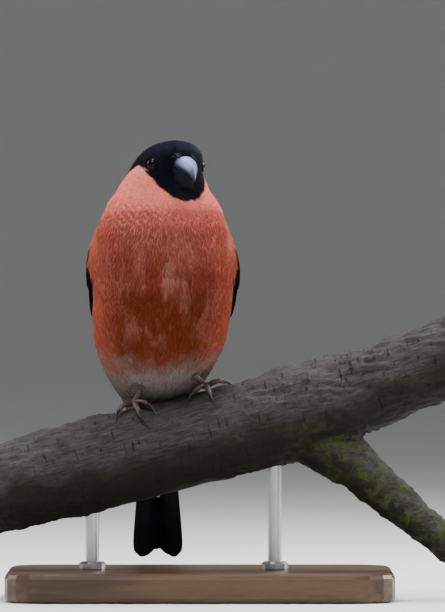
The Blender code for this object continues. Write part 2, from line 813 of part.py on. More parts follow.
def bark_swell(x, angle):
    """Slow swellings of the branch, still near the feet."""
    turn = math.radians(angle)
    calm = min(1.0, abs(x - 3.0) / 25.0) ** 2
    swell = 0.35 * math.sin(x * 0.16 + 2 * turn) + 0.25 * math.sin(x * 0.31 - 3 * turn + 1.0)
    knot = 1.6 * math.exp(-((x - 52.0) / 10.0) ** 2) * max(0.0, math.cos(turn - 2.4)) ** 2
    return calm * swell + knot


def branch_object(name, inflate=0.0, steps=28):
    rings = []
    for i in range(steps + 1):
        x = lerp(BRANCH_LEFT, BRANCH_RIGHT, i / steps)
        edge = 0.7 if i in (0, steps) and not inflate else 0.0
        ring = []
        for j in range(BRANCH_SIDES):
            angle = 360 * j / BRANCH_SIDES
            ring.append(branch_point(x, angle, bark_swell(x, angle) + inflate - edge))
        rings.append(ring)
    return new_object(name, loft(name, rings))


def make_perch():
    branch = branch_object("perch_branch")
    finish_node(branch, BARK_GREY, 60)
    points = [Vector(row[:3]) for row in SHOOT_AXIS]
    fine_points, fine_radii = [], []
    rows = [(i, *points[i], SHOOT_AXIS[i][3]) for i in range(len(points))]
    for step in range(4 * (len(rows) - 1) + 1):
        x, y, z, radius = smooth_table(rows, step / 4)
        wobble = 0.25 * math.sin(step * 1.3)
        fine_points.append(Vector((x, y, z)))
        fine_radii.append(radius + wobble)
    fine_radii[-1] -= 0.5
    shoot = new_object("perch_side_shoot",
                       tube("perch_side_shoot", fine_points, fine_radii, SHOOT_SIDES))
    hull = branch_object("branch_hull", GAP)
    cut(shoot, hull)
    drop([hull])
    keep_largest(shoot)
    finish_node(shoot, BARK_GREY, 60)


# Legs, toes and claws
def spline(points, count):
    rows = [(i, *p) for i, p in enumerate(points)]
    last = len(points) - 1
    return [Vector(smooth_table(rows, last * i / count)) for i in range(count + 1)]


def foot_pad(label):
    x, angle = TOES[label]["pad"]
    return branch_point(x, angle, TOE_STAND)


def toe_path(label, name):
    """Points of one toe from the pad to the root of its claw."""
    pad_x, pad_angle = TOES[label]["pad"]
    (shift_root, _), (angle_root, _) = TOES[label][name]
    arch = 1.0 if name == "hallux" else 1.5
    path = [foot_pad(label)]
    for share, lift in ((0.35, arch * 0.6), (0.75, arch * 0.9), (1.0, arch * 0.6)):
        angle = lerp(pad_angle, angle_root, share)
        path.append(branch_point(pad_x + shift_root * share, angle, TOE_STAND + lift))
    return spline(path, TOE_STEPS)


def claw_path(label, name, toe):
    """Points of one claw from just beyond its toe, arched, down to its tip at the bark."""
    pad_x = TOES[label]["pad"][0]
    (_, shift_tip), (_, angle_tip) = TOES[label][name]
    ahead = (toe[-1] - toe[-2]).normalized()
    root = toe[-1] + ahead * GAP
    tip = branch_point(pad_x + shift_tip, angle_tip, CLAW_TIP_STAND)
    reach = (tip - root).length
    return spline([root, root + ahead * reach * CLAW_ARCH, tip], CLAW_STEPS)


def make_thigh(label, inflate=0.0):
    name = "thigh_hull" if inflate else "thigh_" + label
    top, end = THIGH_TOP[label], THIGH_END[label]
    along = (end - top).normalized()
    shares = (0.0, 0.3, 0.62, 1.0)
    points = [top.lerp(end, share) for share in shares]
    radii = [radius + inflate for radius in THIGH_RADII]
    points[0] = points[0] - along * inflate
    points[-1] = points[-1] + along * inflate
    return new_object(name, tube(name, points, radii, 14))


def tarsus_path(label):
    """Start just under the thigh, and the ankle just over the pad."""
    end = THIGH_END[label]
    start = end + (end - THIGH_TOP[label]).normalized() * 3 * GAP
    pad = foot_pad(label)
    return start, pad + (start - pad).normalized() * (TOE_RADIUS + ANKLE_RISE)


def make_foot(label):
    start, ankle = tarsus_path(label)
    name = "tarsus_" + label
    radii = [TARSUS_RADIUS, TARSUS_RADIUS * 0.9, TARSUS_RADIUS * 1.05]
    tarsus = new_object(name, tube(name, [start, start.lerp(ankle, 0.5), ankle], radii, 10))
    finish_node(tarsus, LEG_BROWN)
    pad = foot_pad(label)
    rise = (ankle - pad).normalized()
    name = "foot_" + label
    heel = [pad - rise * 0.35, ankle - rise * GAP]
    foot = new_object(name, tube(name, heel, [1.15, TARSUS_RADIUS * 1.05], 10))
    toes = []
    for digit in ("hallux", "inner", "middle", "outer"):
        path = toe_path(label, digit)
        radii = [TOE_RADIUS * lerp(1.1, 0.8, i / TOE_STEPS) for i in range(TOE_STEPS + 1)]
        toes.append(new_object("toe", tube("toe", path, radii, 7)))
        claw_points = claw_path(label, digit, path)
        radii = [CLAW_ROOT_RADIUS * (1 - (i / CLAW_STEPS) ** 1.4) + 0.07
                 for i in range(CLAW_STEPS + 1)]
        name = "claw_{}_{}".format(label, digit)
        finish_node(new_object(name, tube(name, claw_points, radii, 6)), CLAW_BLACK)
    join_all(foot, toes)
    keep_largest(foot)
    finish_node(foot, LEG_BROWN)


def leg_hulls(label):
    """Swollen thigh, tarsus and hind toe, which hollow the belly's feathers round them."""
    hulls = [make_thigh(label, GAP)]
    start, ankle = tarsus_path(label)
    pad = foot_pad(label)
    wide = TARSUS_RADIUS + GAP + 0.25
    hulls.append(new_object("hull", tube("hull", [start + (start - ankle) * 0.1, ankle, pad],
                                         [wide, wide, wide + 0.2], 8)))
    toe = toe_path(label, "hallux")
    path = toe[::2] + claw_path(label, "hallux", toe)[1::2]
    hulls.append(new_object("hull", tube("hull", path, [wide + 0.15] * len(path), 8)))
    return hulls


def make_belly():
    belly = body_slice("belly", BELLY_CUT, None)
    down, _, _ = tail_axes()
    keep_side(belly, TAIL_ROOT, down)
    hulls = [branch_object("branch_hull", GAP)]
    for label in ("left", "right"):
        hulls.extend(leg_hulls(label))
    for hull in hulls:
        cut(belly, hull)
    drop(hulls)
    bed_wings(belly)
    finish_node(belly, BELLY_WHITE)


# Display stand
def rounded_outline(size_x, size_y, corner, steps=4):
    points = []
    for quadrant in range(4):
        centre_x = (size_x / 2 - corner) * (1 if quadrant in (0, 3) else -1)
        centre_y = (size_y / 2 - corner) * (1 if quadrant in (0, 1) else -1)
        for i in range(steps + 1):
            angle = math.pi / 2 * (quadrant + i / steps)
            points.append((centre_x + corner * math.cos(angle), centre_y + corner * math.sin(angle)))
    return points


def make_base():
    bm = bmesh.new()
    outline = rounded_outline(BASE_SIZE.x, BASE_SIZE.y, BASE_CORNER)
    face = bm.faces.new([bm.verts.new((x * MM, y * MM, 0)) for x, y in outline])
    raised = bmesh.ops.extrude_face_region(bm, geom=[face])
    top = [v for v in raised["geom"] if isinstance(v, bmesh.types.BMVert)]
    bmesh.ops.translate(bm, verts=top, vec=(0, 0, BASE_SIZE.z * MM))
    base = new_object("stand_base", mesh_from_bmesh("stand_base", bm))
    bevel = base.modifiers.new("rounded_edges", "BEVEL")
    bevel.width = BASE_EDGE * MM
    bevel.segments = 2
    bevel.limit_method = "ANGLE"
    bevel.angle_limit = math.radians(60)
    finish_node(base, BASE_WOOD, 30)


def make_rods():
    hull = branch_object("branch_hull", GAP)
    for name, x in (("stand_rod_left", ROD_LEFT_X), ("stand_rod_right", ROD_RIGHT_X)):
        foot = BASE_SIZE.z + GAP
        centre, _ = branch_axis_at(x - PERCH_TOP.x)
        top = PERCH_TOP.z + centre.z
        profile = ((0.0, foot), (ROD_COLLAR_RADIUS, foot),
                   (ROD_COLLAR_RADIUS, foot + ROD_COLLAR_HEIGHT * 0.7),
                   (ROD_COLLAR_RADIUS - 0.8, foot + ROD_COLLAR_HEIGHT),
                   (ROD_RADIUS, foot + ROD_COLLAR_HEIGHT), (ROD_RADIUS, top), (0.0, top))
        mesh = bpy.data.meshes.new(name)
        rising = [(radius * MM, 0, z * MM) for radius, z in profile]
        mesh.from_pydata(rising[::-1], [(i, i + 1) for i in range(len(rising) - 1)], [])
        rod = new_object(name, mesh)
        screw = rod.modifiers.new("turned", "SCREW")
        screw.steps = 16
        screw.render_steps = 16
        screw.use_merge_vertices = True
        screw.merge_threshold = 0.00001
        apply_modifiers(rod)
        for vertex in rod.data.vertices:
            vertex.co += Vector((x, PERCH_TOP.y, 0)) * MM
        cut(rod, hull)
        keep_largest(rod)
        finish_node(rod, ROD_STEEL)
    drop([hull])


def gather(name):
    group = bpy.data.collections.new(name)
    bpy.context.scene.collection.children.link(group)
    for item in list(bpy.context.scene.collection.objects):
        group.objects.link(item)
        bpy.context.scene.collection.objects.unlink(item)


def main():
    clear_scene()
    make_head()
    for name, upper, lower in (("neck", HEAD_CUT, NECK_CUT), ("torso", NECK_CUT, BELLY_CUT)):
        item = body_slice(name, upper, lower)
        bed_wings(item)
        finish_node(item, BREAST_RED)
    make_belly()
    make_bill()
    for label, side in (("left", 1), ("right", -1)):
        make_wing(label, side)
        finish_node(make_thigh(label), BELLY_WHITE)
        make_foot(label)
    make_tail()
    make_perch()
    make_base()
    make_rods()
    gather("bullfinch")


main()
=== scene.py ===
"""Cock bullfinch perched on a forked branch, held by a plain display stand: plumage and finishes.

Lengths inside the functions are in millimetres from the top of the perch under the bird, with x
to the bird's left, y to its back and z up. They become metres when a mesh is made.
"""
import json
import math

import bmesh
import bpy
import numpy as np
from bpy.props import FloatProperty, FloatVectorProperty, IntProperty, PointerProperty
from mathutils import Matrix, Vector, noise

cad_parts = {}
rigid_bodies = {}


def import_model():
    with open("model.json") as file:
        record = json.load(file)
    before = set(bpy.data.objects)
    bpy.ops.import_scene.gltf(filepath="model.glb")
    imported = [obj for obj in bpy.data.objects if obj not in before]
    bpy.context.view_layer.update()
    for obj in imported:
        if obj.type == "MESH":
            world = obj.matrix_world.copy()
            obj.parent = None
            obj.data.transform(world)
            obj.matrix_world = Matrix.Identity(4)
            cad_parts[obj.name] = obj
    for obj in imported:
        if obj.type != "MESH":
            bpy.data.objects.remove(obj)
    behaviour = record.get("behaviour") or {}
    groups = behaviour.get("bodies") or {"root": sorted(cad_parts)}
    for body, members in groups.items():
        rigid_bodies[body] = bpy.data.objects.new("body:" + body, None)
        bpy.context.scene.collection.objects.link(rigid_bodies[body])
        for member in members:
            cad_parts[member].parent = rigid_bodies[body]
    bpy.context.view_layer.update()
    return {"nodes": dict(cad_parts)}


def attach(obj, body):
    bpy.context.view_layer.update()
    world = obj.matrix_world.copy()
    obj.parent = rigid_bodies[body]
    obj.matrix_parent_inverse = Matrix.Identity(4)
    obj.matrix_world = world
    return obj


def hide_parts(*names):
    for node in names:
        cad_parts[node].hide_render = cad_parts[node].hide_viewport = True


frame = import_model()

bl_info = {
    "name": "Perched bullfinch",
    "version": (1, 0, 0),
    "blender": (4, 5, 0),
    "location": "View3D > Sidebar > Bullfinch",
    "description": "Plumage, bill, feet, bark and stand of a perched cock bullfinch",
    "category": "Object",
}

MM = 0.001
ROOT = "root"
PERCH_TOP = np.array((-12.6, -5.0, 68.0))
PHOTO_SIZE = (445, 612)
SIDES = (("left", 1), ("right", -1))

# Sizes shared with the solids
# Sections of head, neck and body: height, centre x, half width, y of the widest line, y of the
# front, y of the back. The last rows are the root of the tail.
SECTIONS = (
    (88.5, 4.3, 0.5, -8.5, -9.0, -8.0),
    (88.1, 4.2, 3.3, -8.5, -12.3, -5.2),
    (87.0, 3.8, 6.7, -8.3, -15.4, -2.0),
    (85.5, 3.3, 8.9, -8.2, -17.4, 0.2),
    (83.5, 2.8, 10.7, -8.0, -18.9, 2.2),
    (81.5, 2.1, 11.7, -7.8, -19.6, 3.6),
    (79.0, 1.3, 12.4, -7.6, -19.9, 4.8),
    (76.5, 0.7, 13.3, -7.4, -19.6, 5.8),
    (74.0, 0.3, 14.6, -7.0, -19.3, 6.8),
    (71.5, 0.1, 15.9, -6.6, -19.4, 7.8),
    (69.0, 0.0, 17.7, -6.2, -20.4, 8.8),
    (66.5, 0.1, 19.2, -6.0, -22.1, 10.0),
    (64.4, 0.0, 20.2, -5.8, -23.4, 11.0),
    (62.4, -0.1, 20.9, -5.6, -24.5, 12.0),
    (60.3, -0.2, 21.7, -5.3, -25.6, 13.2),
    (57.0, -0.3, 22.8, -4.9, -26.95, 15.0),
    (52.0, -0.2, 23.95, -4.2, -28.3, 17.3),
    (48.0, -0.1, 24.35, -3.6, -28.9, 18.8),
    (44.0, 0.0, 24.5, -3.0, -29.2, 20.2),
    (36.0, -0.1, 24.2, -1.2, -28.6, 22.8),
    (28.0, -0.6, 23.8, 1.0, -26.2, 25.0),
    (20.0, -1.1, 22.6, 4.2, -21.6, 26.6),
    (13.0, -1.7, 20.2, 8.0, -14.8, 27.4),
    (7.0, -2.0, 17.2, 11.4, -8.0, 27.8),
    (3.0, -2.0, 14.8, 13.6, -2.5, 28.0),
    (0.0, -2.0, 12.7, 15.3, 2.0, 28.2),
    (-4.0, -2.0, 11.0, 17.4, 7.5, 28.5),
    (-12.0, -2.1, 9.4, 20.5, 14.5, 29.8),
    (-20.0, -2.2, 8.8, 23.4, 18.5, 31.8),
)
HEAD_CENTRE = np.array((2.4, -7.6, 78.0))
HEAD_YAW = 28.0
HEAD_PITCH = 9.5
EYE_RADIUS = 2.5
EYE_PROUD = 0.85
EYE_SIDE_ANGLE = 61.0
EYE_RISE_ANGLE = 15.0
LID_RADIUS = 2.5

# Bill profile in the head's own frame: distance forward of the head centre, height or half width
CULMEN = ((9.0, 6.8), (11.5, 6.3), (13.6, 5.3), (15.6, 3.8), (17.2, 2.2), (18.4, 0.6))
TOMIUM = ((9.0, 3.4), (11.5, 2.9), (13.6, 2.3), (15.6, 1.5), (17.2, 0.8), (18.4, 0.0))
CHIN = ((9.0, -4.6), (11.5, -4.4), (13.4, -3.4), (15.0, -1.9), (16.4, -0.1))
BILL_HALF_WIDTH = ((9.0, 4.6), (11.5, 4.2), (13.6, 3.4), (15.6, 2.2), (17.2, 1.1), (18.4, 0.35))
CHIN_HALF_WIDTH = ((9.0, 4.7), (11.5, 4.3), (13.4, 3.5), (15.0, 2.4), (16.4, 0.9))

BRANCH_AXIS = (
    (-72.0, -34.2, 14.8),
    (-60.0, -31.2, 15.0),
    (-35.0, -25.0, 15.5),
    (-10.2, -18.9, 15.8),
    (5.8, -14.9, 15.2),
    (29.6, -8.8, 15.6),
    (46.0, -4.2, 15.8),
    (60.2, 0.7, 14.8),
    (73.8, 5.3, 13.8),
    (87.4, 10.7, 12.9),
    (97.0, 14.6, 13.0),
    (108.0, 19.2, 13.0),
)
BRANCH_LEFT = -61.5
BRANCH_RIGHT = 102.0
SHOOT_AXIS = (
    (47.0, -1.0, -9.0, 11.5),
    (55.0, -2.0, -14.5, 10.4),
    (63.6, -3.0, -20.9, 8.7),
    (75.5, -4.0, -31.3, 7.1),
    (86.5, -4.5, -40.4, 6.2),
    (101.0, -5.0, -52.6, 5.4),
)

# Feather tiers of a folded wing. Each row: name, number of feathers, root of the first and of
# the last (height, angle round the body from the side towards the back), tips of the same two,
# width of the first and the last, lift over the body, how far the leading edge stands up.
WING_TIERS = (
    ("primary", 7, (45, 8), (43, 22), (-15, 60), (0, 74), 4.4, 4.8, 0.0, 1.2),
    ("secondary", 6, (44, 28), (46, 46), (5, 74), (11, 82), 5.0, 5.4, 0.1, 1.1),
    ("tertial", 3, (47, 50), (50, 60), (19, 76), (29, 84), 6.0, 6.2, 0.3, 1.2),
    ("primary_covert", 5, (49, -2), (47, 8), (28, 20), (31, 30), 4.2, 4.2, 1.2, 0.8),
    ("greater_covert", 9, (50, 6), (53, 56), (35, 26), (37, 74), 6.2, 6.4, 1.5, 0.9),
    ("median_covert", 8, (55, 2), (58, 50), (45, 10), (48, 62), 7.2, 7.4, 1.8, 0.8),
    ("alula", 3, (54, -6), (51, -3), (41, 6), (38, 10), 3.2, 3.2, 1.4, 0.6),
)
WING_FLOOR = ((-20, 1.15), (4, 1.15), (19, -0.3), (46, -0.5), (54, -1.5), (64, -2.1))
WING_CORE_ROWS = ((60.0, 10, 38), (57.5, -4, 50), (53.0, -8, 58), (47.0, -2, 64), (40.0, 9, 68),
                  (34.0, 22, 66))
WING_BED_ROWS = ((63.5, 6, 42), (61.0, -13, 54), (54.0, -20, 66), (47.0, -16, 76), (40.0, -8, 84),
                 (30.0, 3, 93), (22.0, 13, 98), (14.0, 21, 98), (6.0, 29, 98))
WING_CORE_THICKNESS = 1.6
WING_EDGE_LIFT = 0.5

TAIL_ROOT = np.array((-2.1, 19.5, -1.0))
TAIL_LEAN = 20.0
TAIL_LENGTH = 57.2
TAIL_HALF_WIDTH = 8.85
TAIL_PAIRS = 6
TAIL_FEATHER_WIDTH = 5.4
TAIL_NOTCH = 2.0
TAIL_ARCH = 0.018
TAIL_LAYER = 0.57
TAIL_TOP_LEVEL = 1.3
TAIL_SECOND_ACROSS = 2.75
TAIL_CORNER = 1.4

TARSUS_RADIUS = 0.95
TOE_RADIUS = 0.85
TOE_STAND = 1.4
ANKLE_RISE = 1.35
CLAW_ROOT_RADIUS = 0.56
CLAW_ARCH = 0.42
CLAW_TIP_STAND = 0.55
DIGITS = ("hallux", "inner", "middle", "outer")
TOES = {
    "left": {
        "pad": (19.0, 9.0),
        "hallux": ((0.6, 0.4), (-38, -54)),
        "inner": ((-4.6, -8.2), (24, 37)),
        "middle": ((0.4, 1.4), (36, 54)),
        "outer": ((5.6, 9.4), (18, 30)),
    },
    "right": {
        "pad": (-5.7, 9.0),
        "hallux": ((-0.6, -0.4), (-38, -54)),
        "inner": ((4.2, 6.0), (26, 42)),
        "middle": ((0.9, 3.2), (38, 62)),
        "outer": ((-5.2, -7.2), (26, 40)),
    },
}
THIGH_TOP = {"left": (8.0, 3.6, 15.4), "right": (-7.4, 3.4, 11.0)}
THIGH_END = {"left": (11.0, -3.0, 8.2), "right": (-7.9, -2.8, 3.2)}
THIGH_KEYS = (0, 0.3, 0.62, 1.0)
THIGH_RADII = (3.2, 4.4, 4.0, 1.5)

# Sizes of the looks alone: how far the eye lies under its solid's front, the thickness of the lid's
# roll and how far it lies inside the eye's rim, and how far the skin lies under the coat
EYE_SET_BACK = 0.3
LID_ROLL = 0.26
LID_INSET = 0.24
THIGH_DEPTH = 1.0
COAT_DEPTH = 1.25

# Border of the black cap in the head's own frame: angle from straight ahead, height
CAP_LINE = ((0, -7.4), (15, -6.7), (28, -5.1), (40, -3.2), (49, -1.5), (59, 0.1), (71, 1.6),
            (82, 2.3), (92, 0.9), (105, -0.8), (120, -1.8), (150, -2.4), (180, -2.6))

# Knots of the bark: x, z, size and height; and where the side shoot leaves
KNOTS = ((70.0, 14.0, 3.2, 0.9), (28.5, -1.5, 2.6, 0.8), (-38.0, -22.0, 2.4, 0.7),
         (14.0, -20.0, 2.2, 0.5), (82.0, 6.0, 2.6, 0.7))
FORK_X = 58.0
BARK_SLANT = math.radians(-15)
# A place inside the wood from which all sawn faces look away, and their profile: share of the
# ring's width, height over its plane
TRUNK = np.array((20.0, 0.0, -14.0))
CUT_PROFILE = ((1.02, -0.9), (0.985, 0.05), (0.94, 0.26), (0.8, 0.3), (0.6, 0.3), (0.4, 0.3),
               (0.2, 0.3), (0.04, 0.3))

# Flank feathers over the wing: height, first and last angle in degrees
FLANK_HEIGHTS = (36.0, 64.0)
FLANK_LIFT = 0.35
FLANK_ROWS = ((36.0, -46.0, -36.0), (46.0, -46.0, -15.0), (52.0, -42.0, -4.0),
              (58.0, -36.0, 8.0), (64.0, -26.0, 16.0))
ARM_HEIGHTS = (36.0, 62.0)

# Grid over the body, side of a tuft's patch on the map, columns of the map of the vanes, and
# steps that strew places evenly
GRID_ROWS = 300
GRID_COLUMNS = 240
PATCH = 0.003
MAP_CELLS = 7
STREW_STEPS = (0.7548776662, 0.5698402910)


# Curves and forms
def smooth_table(rows, key):
    """Reads a table of rows at any keys, the first column, through a smooth curve."""
    table = np.array(sorted(rows), float)
    keys = np.clip(np.asarray(key, float), table[0, 0], table[-1, 0])
    i = np.clip(np.searchsorted(table[:, 0], keys) - 1, 0, len(table) - 2)
    low, high = table[i], table[i + 1]
    before, after = table[np.maximum(i - 1, 0)], table[np.minimum(i + 2, len(table) - 1)]
    span = (high - low)[..., :1]
    t = (keys[..., None] - low[..., :1]) / span
    slope_low = (high - before) / (high - before)[..., :1] * span
    slope_high = (after - low) / (after - low)[..., :1] * span
    rise = high - low
    bend = (slope_low - rise) * (1 - t) + (rise - slope_high) * t
    return (low + rise * t + t * (1 - t) * bend)[..., 1:]


def read_rows(rows, key):
    """Reads the columns of a table at any keys of the first, along straight lines."""
    table = np.array(sorted(rows), float)
    return [np.interp(key, table[:, 0], column) for column in table[:, 1:].T]


def spline(points, count):
    """Smooth path with a number of steps through a few points."""
    rows = [(i, *point) for i, point in enumerate(points)]
    return smooth_table(rows, np.linspace(0, len(points) - 1, count + 1))


def lerp(a, b, share):
    return a + (b - a) * share


def unit(vectors):
    vectors = np.asarray(vectors, float)
    return vectors / np.maximum(np.linalg.norm(vectors, axis=-1, keepdims=True), 1e-9)


def offset(origin, amounts, directions):
    """Points at distances from an origin along three directions."""
    parts = np.broadcast_arrays(*(np.asarray(amount, float) for amount in amounts))
    return origin + sum(part[..., None] * way for part, way in zip(parts, directions))


def strewn(count):
    """Two shares from 0 to 1 for each of a number of evenly strewn places."""
    order = np.arange(count) + 0.5
    return [(order * step) % 1 for step in STREW_STEPS]


def ease(value, low, high):
    """Smooth step from 0 to 1."""
    t = np.clip((np.asarray(value, float) - low) / (high - low), 0, 1)
    return t * t * (3 - 2 * t)


def section(z):
    """Centre x, half width, and y of the widest line, the front and the back at heights."""
    return np.moveaxis(smooth_table(SECTIONS, z), -1, 0)


def body_point(z, angle, lift=0.0):
    """Points of the body's form at heights and angles in radians from the bird's left side
    towards its back, lifted along each section's own normal."""
    z, angle = np.broadcast_arrays(np.asarray(z, float), np.asarray(angle, float))
    centre, half, widest, front, back = section(z)
    depth = np.where(np.sin(angle) > 0, back - widest, widest - front)
    cos, sin = np.cos(angle), np.sin(angle)
    normal = unit(np.stack((cos / half, sin / depth, np.zeros_like(cos)), -1))
    point = np.stack((centre + half * cos, widest + depth * sin, z), -1)
    return point + normal * np.asarray(lift, float)[..., None]


def rearward_of(points):
    """How far each point lies behind the body's widest line, as a share of its depth there."""
    centre, half, widest, front, back = section(points[..., 2])
    depth = np.where(points[..., 1] > widest, back - widest, widest - front)
    return (points[..., 1] - widest) / depth


def body_angle(points):
    """Angle of each point round the body's form."""
    centre, half = section(points[..., 2])[:2]
    return np.arctan2(rearward_of(points), (points[..., 0] - centre) / half)


def snap_to_body(points, lift):
    return body_point(points[..., 2], body_angle(points), lift)


def head_axes():
    """Forward, left and up directions of the turned head."""
    yaw, pitch = math.radians(HEAD_YAW), math.radians(HEAD_PITCH)
    left = np.array((math.cos(yaw), math.sin(yaw), 0))
    level = np.array((math.sin(yaw), -math.cos(yaw), 0))
    forward = level * math.cos(pitch) - np.array((0, 0, math.sin(pitch)))
    return forward, left, np.cross(forward, left)


FORWARD, LEFT, UP = head_axes()


def head_point(forward_by, up_by, left_by=0.0):
    return offset(HEAD_CENTRE, (forward_by, up_by, left_by), (FORWARD, UP, LEFT))


def in_head(points):
    """Distances forward, up and left of the head's centre."""
    away = points - HEAD_CENTRE
    return away @ FORWARD, away @ UP, away @ LEFT


def eye_place(side):
    """Axis of an eye, and the place where it leaves the head's form."""
    turn, rise = math.radians(EYE_SIDE_ANGLE), math.radians(EYE_RISE_ANGLE)
    level = FORWARD * math.cos(turn) + LEFT * side * math.sin(turn)
    axis = unit(level * math.cos(rise) + UP * math.sin(rise))
    reach = np.linspace(2, 30, 1400)
    line = HEAD_CENTRE + reach[:, None] * axis
    form = snap_to_body(line, 0.0)
    middle = smooth_table(SECTIONS, line[:, 2])[:, [0, 2]]
    inside = (np.linalg.norm(line[:, :2] - middle, axis=1)
              < np.linalg.norm(form[:, :2] - middle, axis=1)) & (line[:, 2] < SECTIONS[0][0])
    return axis, line[np.argmin(inside)]


def tail_point(along, across, dorsal_by):
    lean = math.radians(TAIL_LEAN)
    down = np.array((0, math.sin(lean), -math.cos(lean)))
    dorsal = np.array((0, math.cos(lean), math.sin(lean)))
    return offset(TAIL_ROOT, (along, across, dorsal_by), (down, np.array((1.0, 0, 0)), dorsal))


def thigh_axis(label):
    """Top and end of a thigh."""
    return np.array(THIGH_TOP[label]), np.array(THIGH_END[label])


def thigh_radius(share, last):
    """Radius of the thigh's skin; last is the share at which it has closed."""
    rows = list(zip((*THIGH_KEYS, last), (*THIGH_RADII, 1.1)))
    return smooth_table(rows, share)[:, 0] - THIGH_DEPTH


def branch_point(x, angle, lift=0.0):
    """Points over the bark: angle 0 is the top, positive towards the bird's front."""
    x, angle = np.broadcast_arrays(np.asarray(x, float), np.asarray(angle, float))
    height, radius = np.moveaxis(smooth_table(BRANCH_AXIS, x), -1, 0)
    zero = np.zeros_like(x)
    axis_here = np.stack((x, zero, height), -1)
    slope = smooth_table(BRANCH_AXIS, x + 1)[..., 0] - smooth_table(BRANCH_AXIS, x - 1)[..., 0]
    ahead = unit(np.stack((zero + 2, zero, slope), -1))
    front = np.array((0.0, -1.0, 0.0))
    up = np.cross(ahead, front)
    up = np.where(up[..., 2:] < 0, -up, up)
    turn = np.radians(angle)[..., None]
    return axis_here + (up * np.cos(turn) + front * np.sin(turn)) * (radius + lift)[..., None]


# Plumage: where it grows, which way it lies and what it is coloured
def body_grid():
    """Rows of points and outward directions over the whole body, from the crown to the tail."""
    dense = np.linspace(SECTIONS[0][0] - 0.05, SECTIONS[-1][0], 2400)
    meridians = body_point(dense[:, None], np.radians((0, 90, 180, 270))[None, :])
    steps = np.linalg.norm(np.diff(meridians, axis=0), axis=-1).mean(1)
    run = np.concatenate(((0,), np.cumsum(steps)))
    heights = np.interp(np.linspace(0, run[-1], GRID_ROWS), run, dense)
    angles = np.linspace(0, 2 * math.pi, GRID_COLUMNS, endpoint=False)
    points = body_point(heights[:, None], angles[None, :])
    down = np.gradient(points, axis=0)
    around = (np.roll(points, -1, 1) - np.roll(points, 1, 1)) / 2
    facing = np.cross(down, around)
    area = np.linalg.norm(facing, axis=-1)
    return points, unit(facing), area, heights


GRID_POINTS, GRID_FACING, GRID_AREA, GRID_HEIGHTS = body_grid()
BILL_BASE = head_point(11.0, 1.0)
EYES = {label: eye_place(side) for label, side in SIDES}


def read_grid(field, rows, columns):
    """Reads a field of the body's grid between its points."""
    i = np.clip(rows.astype(int), 0, GRID_ROWS - 2)
    j = columns.astype(int) % GRID_COLUMNS
    k = (j + 1) % GRID_COLUMNS
    t, s = (rows - i)[:, None], (columns - np.floor(columns))[:, None]
    near = field[i, j] * (1 - s) + field[i, k] * s
    far = field[i + 1, j] * (1 - s) + field[i + 1, k] * s
    return near * (1 - t) + far * t


def spread(count, weight):
    """Evenly strewn places, as rows and columns of the body's grid, denser where the weight is."""
    first, second = strewn(count)
    total = np.concatenate(((0,), np.cumsum(weight.sum(1))))
    rows = np.interp(first * total[-1], total, np.arange(GRID_ROWS + 1))
    i = np.minimum(rows.astype(int), GRID_ROWS - 1)
    share = np.cumsum(weight, axis=1) / weight.sum(1)[:, None]
    ladder = (share + np.arange(GRID_ROWS)[:, None]).ravel()
    want = i + second
    found = np.minimum(np.searchsorted(ladder, want), ladder.size - 1)
    below = np.where(found % GRID_COLUMNS == 0, i, ladder[found - 1])
    columns = found % GRID_COLUMNS + (want - below) / np.maximum(ladder[found] - below, 1e-9)
    return np.clip(rows - 0.5, 0, GRID_ROWS - 1.001), columns


def flow_noise(points, scale, seed=0.0):
    """Smooth noise between -1 and 1 at each point."""
    shift = Vector((seed * 7.1, seed * 3.7, seed * 5.3))
    return np.array([noise.noise(Vector(point) / scale + shift) for point in points.tolist()])


def eye_distance(points):
    """Distance of each point to the nearer eye."""
    return np.min([np.linalg.norm(points - place, axis=-1) for _, place in EYES.values()], axis=0)


def coat_depth(points):
    """How far the skin lies under the tips of the coat."""
    depth = np.minimum(COAT_DEPTH, 0.15 + 0.17 * feather_length(points))
    face = ease(np.minimum(in_head(points)[0] - 3.0, points[..., 2] - 64.0), 0, 7)
    depth = lerp(depth, np.minimum(depth, 0.5), face)
    return np.minimum(depth, lerp(0.45, 3.0, ease(eye_distance(points), 2.5, 9.0)))


def feather_length(points):
    """Length of the body's feathers at each point."""
    z = points[..., 2]
    to_bill = np.linalg.norm(points - BILL_BASE, axis=-1)
    head = np.interp(to_bill, (4, 9, 16, 24, 34), (1.1, 1.5, 2.2, 3.0, 3.8))
    body = np.interp(z, (-20, -6, 4, 14, 30, 50, 66), (8.5, 8.0, 6.6, 5.8, 5.2, 4.6, 3.9))
    length = lerp(body, head, ease(z, 58, 72))
    near_eye = np.interp(eye_distance(points), (2.5, 5.0, 9.0), (0.9, 1.5, 4.0))
    return np.minimum(length, near_eye)


def feather_lie(points, facing):
    """Direction in which the feathers lie."""
    x, z = points[..., 0], points[..., 2]
    aside = (x - section(z)[0]) / 24.0
    down = np.stack((aside * 0.25, np.full_like(aside, 0.22), np.full_like(aside, -1.0)), -1)
    lean = math.radians(TAIL_LEAN)
    tail_way = np.array((0, math.sin(lean), -math.cos(lean)))
    down = lerp(unit(down), tail_way, ease(z, 22, -6)[..., None])
    way = lerp(down, unit(points - BILL_BASE), ease(z, 58, 76)[..., None])
    swirl = flow_noise(points, 11.0, 1.0) * 0.16 + flow_noise(points, 4.0, 2.0) * 0.06
    way = unit(way - facing * (way * facing).sum(-1, keepdims=True))
    return unit(way + np.cross(facing, way) * swirl[:, None])


def painted(base, colour, share):
    """Lays a colour over others, by a share at each point."""
    return lerp(base, np.array(colour), share[:, None])


